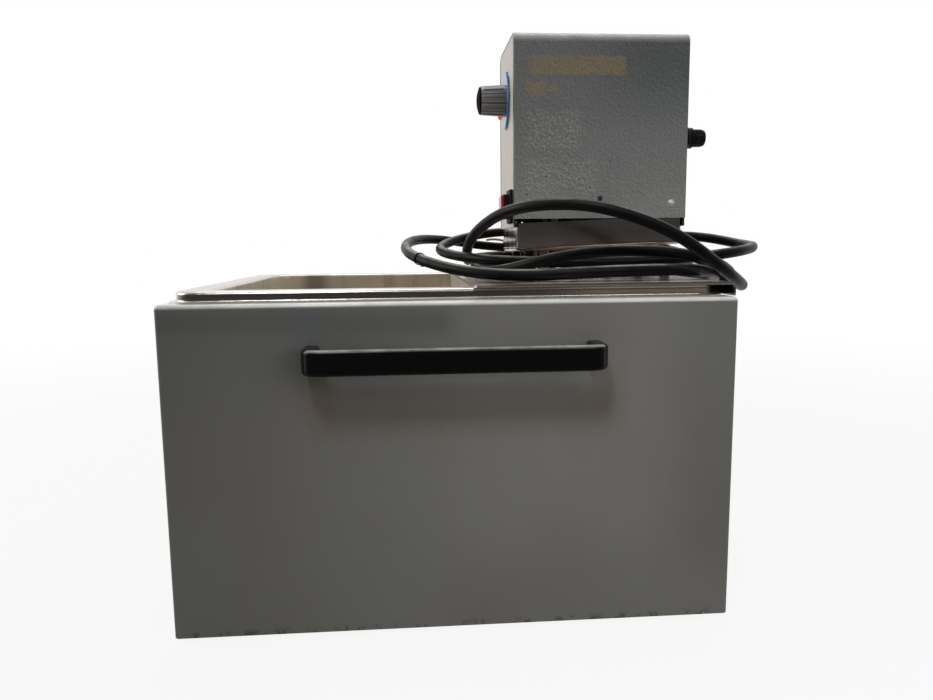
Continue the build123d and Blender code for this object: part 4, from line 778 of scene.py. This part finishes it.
def knob_grey():
    """Grey knob with ten dark grooves, pale along their edges: rubbed paint and a painted highlight on the
    ridges.
    """
    f = moulded("knob_grey", (0.235, 0.232, 0.222), 0.32, (0.24, 0.235, 0.22))
    wave = f.math("COSINE", f.product(f.angle(0, knob_height), 10))
    f.paint(f.step(wave, 0.72, 0.9, 0, 0.75), (0.045, 0.044, 0.042))
    # Painted highlight, and rubbed paint, beside each groove.
    rubbed_and_highlit = f.product(f.step(wave, 0.35, 0.5), f.step(wave, 0.74, 0.6))
    f.paint(f.product(rubbed_and_highlit, f.patches(120, 3, 0.3, 0.7, 0.5, 1)), (0.42, 0.415, 0.40))
    return f.done()


def skirt_blue():
    """Clear blue disc behind the knob, darker at its middle."""
    f = Finish("skirt_blue", (0.16, 0.36, 0.74), 0.12)
    f.fix("Transmission Weight", 0.55)
    f.fix("IOR", 1.49)
    f.paint(f.step(f.distance(Y, 0, Z, knob_height), 0.021, 0.0185, 0, 0.8), (0.02, 0.06, 0.2))
    f.roughen(f.patches(80, 4, 0.4, 0.7), 0.2)
    f.raise_by(f.noise(300, 2), 0.00003)
    return f.done()


def dial_silver():
    """Silver ring with 60 fine ticks and 12 longer ones."""
    f = Finish("dial_silver", (0.70, 0.69, 0.66), 0.3, 0.9)
    angle = f.angle(0, knob_height)
    radius = f.distance(Y, 0, Z, knob_height)
    for ticks, inner, width in ((60, 0.0262, 0.10), (12, 0.0238, 0.035)):
        turn = f.math("FRACT", f.math("ADD", f.product(angle, ticks / (2 * pi)), 0.5))
        near = f.math("ABSOLUTE", f.math("SUBTRACT", turn, 0.5))
        tick = f.product(f.step(near, width * 1.2, width * 0.8), f.step(radius, inner, inner + 0.0002))
        f.paint(tick, (0.02, 0.02, 0.022))
    f.roughen(f.patches(150, 4, 0.4, 0.7), 0.42)
    f.raise_by(f.noise(900, 2), 0.00002)
    return f.done()


def clear_lens(name, colour, glow):
    """Coloured see-through plastic with a faint glow of its own."""
    f = Finish(name, colour, 0.14)
    f.fix("Transmission Weight", 0.35)
    f.fix("IOR", 1.49)
    f.fix("Emission Color", (*colour, 1))
    f.fix("Emission Strength", glow)
    f.paint(f.patches(200, 4, 0.5, 0.8, 0, 0.3), tuple(part * 0.5 for part in colour))
    f.roughen(f.patches(260, 3, 0.4, 0.7), 0.24)
    f.raise_by(f.cells(900), 0.0001)
    return f.done()


def fuse_glass():
    f = Finish("fuse_glass", (0.9, 0.93, 0.93), 0.05)
    f.fix("Transmission Weight", 0.95)
    f.fix("IOR", 1.47)
    f.roughen(f.patches(300, 3, 0.4, 0.7), 0.12)
    f.raise_by(f.noise(500, 2), 0.00001)
    return f.done()


# Metals and the works inside
def screw_zinc():
    f = Finish("screw_zinc", (0.70, 0.70, 0.68), 0.36, 0.55)
    f.paint(f.patches(300, 3, 0.45, 0.7, 0, 0.5), (0.44, 0.43, 0.41))
    f.roughen(f.patches(600, 3, 0.4, 0.7), 0.48)
    f.raise_by(f.noise(900, 2), 0.00003)
    return f.done()


def sheath_steel():
    """The heater's and the probe's steel, with scale on it."""
    f = Finish("sheath_steel", (0.36, 0.31, 0.27), 0.34, 1.0)
    f.paint(f.patches(60, 4, 0.4, 0.7, 0, 0.7), (0.50, 0.46, 0.40))
    f.paint(f.step(f.cells(180), 0.3, 0.1, 0, 0.5), (0.62, 0.59, 0.53))
    f.roughen(f.patches(240, 3, 0.4, 0.7), 0.55)
    f.raise_by(f.noise(500, 3), 0.0001)
    return f.done()


def metal(name, colour, rough, stain, grain=400):
    f = Finish(name, colour, rough, 1.0)
    f.paint(f.patches(90, 5, 0.42, 0.74, 0, 0.6), stain)
    f.roughen(f.patches(grain, 4, 0.35, 0.7), min(0.9, rough + 0.16))
    f.raise_by(f.noise(grain * 2, 2), 0.00004)
    return f


def laminations():
    f = metal("laminations", (0.24, 0.23, 0.23), 0.42, (0.14, 0.11, 0.09))
    f.raise_by(f.ripples(f.axis(Z), 0.0006), 0.00008)
    return f.done()


def copper_winding():
    """Copper wires that run round with a slight slant."""
    f = metal("copper_winding", (0.60, 0.27, 0.11), 0.28, (0.36, 0.14, 0.06))
    slanted = f.math("ADD", f.axis(Z), f.product(f.axis(X), 0.12))
    f.raise_by(f.ripples(slanted, 0.0009), 0.00022)
    return f.done()


def board_green():
    """Green circuit board with paler tracks."""
    f = moulded("board_green", (0.03, 0.17, 0.07), 0.28, (0.05, 0.22, 0.1))
    edges = f.step(f.cells(260, "DISTANCE_TO_EDGE"), 0.05, 0.09, 1, 0)
    tracks = f.product(edges, f.patches(40, 3, 0.4, 0.5))
    f.paint(f.product(tracks, 0.6), (0.10, 0.34, 0.16))
    f.raise_by(tracks, 0.00005)
    return f.done()


finishes = {
    "casing_paint": casing_paint(),
    "cover_paint": cover_paint(),
    "panel_paint": panel_paint(),
    "stainless": stainless(),
    "tray_zinc": tray_zinc(),
    "screw_zinc": screw_zinc(),
    "sheath_steel": sheath_steel(),
    "black_rubber": black_rubber(),
    "insulation_foam": insulation_foam(),
    "handle_plastic": handle_plastic(),
    "knob_black": moulded("knob_black", (0.004, 0.004, 0.004), 0.75, (0.012, 0.0115, 0.011), 0.08).done(),
    "knob_grey": knob_grey(),
    "skirt_blue": skirt_blue(),
    "dial_silver": dial_silver(),
    "lamp_lens": clear_lens("lamp_lens", (0.86, 0.16, 0.02), 0.25),
    "switch_black": moulded("switch_black", (0.010, 0.0095, 0.010), 0.6, (0.03, 0.028, 0.026), 0.15).done(),
    "rocker_red": clear_lens("rocker_red", (0.56, 0.03, 0.03), 0.05),
    "fuse_black": fuse_black(),
    "fuse_glass": fuse_glass(),
    "laminations": laminations(),
    "copper_winding": copper_winding(),
    "brass_bright": metal("brass_bright", (0.68, 0.50, 0.24), 0.24, (0.40, 0.26, 0.11)).done(),
    "fan_plastic": moulded("fan_plastic", (0.06, 0.06, 0.062), 0.45).done(),
    "bush_bronze": metal("bush_bronze", (0.48, 0.32, 0.16), 0.42, (0.26, 0.16, 0.08), 700).done(),
    "board_green": board_green(),
    "terminal_white": moulded("terminal_white", (0.70, 0.68, 0.62), 0.42, (0.5, 0.47, 0.4)).done(),
    "phenolic_brown": moulded("phenolic_brown", (0.13, 0.055, 0.03), 0.3, (0.2, 0.1, 0.06)).done(),
    "tie_yellow": tie_yellow(),
}

# Each node gets the finish its slot is named after, apart from these two
own_finish = {"head_base_pan": "tray_zinc", "support_posts": "tray_zinc"}
for name, node in nodes.items():
    for slot in node.material_slots:
        slot.material = finishes[own_finish.get(name, slot.material.name.split(".")[0])]
lead.data.materials.append(finishes["black_rubber"])
tail.data.materials.append(finishes["tie_yellow"])
seal.data.materials.append(finishes["black_rubber"])
strap.data.materials.append(finishes["knob_black"])

# Floor and light: mirrors see the surroundings dark in front of the bath and white behind it
front_glow = 0.12
floor_reach = 6


def floor_white():
    """Pale floor, which the camera and mirrors see mostly as a glow, and wholly so further off."""
    f = Finish("floor_white", (0.5, 0.495, 0.48), 0.85)
    f.roughen(f.patches(3, 3, 0.35, 0.7), 0.95)
    f.raise_by(f.noise(60, 3), 0.0002)
    material = f.done()
    camera_ray, mirrored = f.rays()
    share = f.product(f.most(camera_ray, mirrored), f.step(f.distance(X, 0, Y, 0), 0.5, 2.2, 0.9, 1.0))
    behind = f.along(Y, -0.35, 0.15, front_glow, 1.0)
    strength = f.math("ADD", f.product(mirrored, behind), f.math("SUBTRACT", 1.0, mirrored))
    glow = f.add("ShaderNodeEmission")
    f.join(strength, glow.inputs["Strength"])
    mix = f.add("ShaderNodeMixShader")
    f.join(share, mix.inputs[0])
    f.join(f.shader.outputs[0], mix.inputs[1])
    f.join(glow.outputs[0], mix.inputs[2])
    f.join(mix.outputs[0], f.tree.nodes["Material Output"].inputs[0])
    return material


def make_floor():
    data = bpy.data.meshes.new("floor")
    corners = [(-floor_reach, -floor_reach, 0), (floor_reach, -floor_reach, 0),
               (floor_reach, floor_reach, 0), (-floor_reach, floor_reach, 0)]
    data.from_pydata(corners, [], [(0, 1, 2, 3)])
    floor = bpy.data.objects.new("floor", data)
    scene.collection.objects.link(floor)
    data.materials.append(floor_white())


def make_world():
    """White for the camera, and soft light that comes mostly from behind."""
    world = bpy.data.worlds.new("studio")
    scene.world = world
    world.use_nodes = True
    world.node_tree.nodes.clear()
    w = Nodes(world.node_tree)
    way = w.add("ShaderNodeSeparateXYZ")
    w.join(w.add("ShaderNodeTexCoord").outputs["Generated"], way.inputs[0])
    in_mirrors = w.step(way.outputs[Y], -0.5, 0.3, front_glow, 1.0)
    light = w.step(way.outputs[Y], -0.6, 0.7, 0.05, 0.8)
    camera_ray, mirrored = w.rays()
    back = w.add("ShaderNodeBackground")
    back.inputs["Color"].default_value = (1, 1, 1, 1)
    strength = w.mix("FLOAT", camera_ray, w.mix("FLOAT", mirrored, light, in_mirrors), 1.0)
    w.join(strength, back.inputs["Strength"])
    w.join(back.outputs[0], w.add("ShaderNodeOutputWorld").inputs[0])


def place_lamp(data, place, target):
    lamp = bpy.data.objects.new(data.name, data)
    scene.collection.objects.link(lamp)
    lamp.location = place
    lamp.rotation_euler = (Vector(target) - Vector(place)).to_track_quat("-Z", "Y").to_euler()
    return lamp


def make_panel_lamp(name, place, target, size, power, mirrored=True):
    data = bpy.data.lights.new(name, "AREA")
    data.shape = "RECTANGLE"
    data.size, data.size_y = size
    data.energy = power
    place_lamp(data, place, target).visible_glossy = mirrored


def make_spot(name, place, target, degrees, radius, power):
    data = bpy.data.lights.new(name, "SPOT")
    data.spot_size = radians(degrees)
    data.spot_blend = 1.0
    data.shadow_soft_size = radius
    data.energy = power
    place_lamp(data, place, target)


make_floor()
make_world()
make_panel_lamp("left_soft", (-1.6, 0.1, 0.9), (0.06, 0.0, 0.42), (0.9, 0.9), 9)
make_panel_lamp("right_soft", (1.1, -1.4, 0.6), (0.15, -0.19, 0.25), (0.9, 0.7), 8.5, False)
make_panel_lamp("top_soft", (0.0, 0.5, 1.8), (0.0, 0.0, 0.3), (1.2, 0.8), 9)
make_spot("left_key", (-0.35, -1.2, 1.58), (0.15, -0.19, 0.12), 28, 0.14, 43)
make_spot("right_key", (0.6, -1.5, 1.1), (0.17, -0.19, 0.18), 23, 0.5, 54)

bpy.context.view_layer.update()
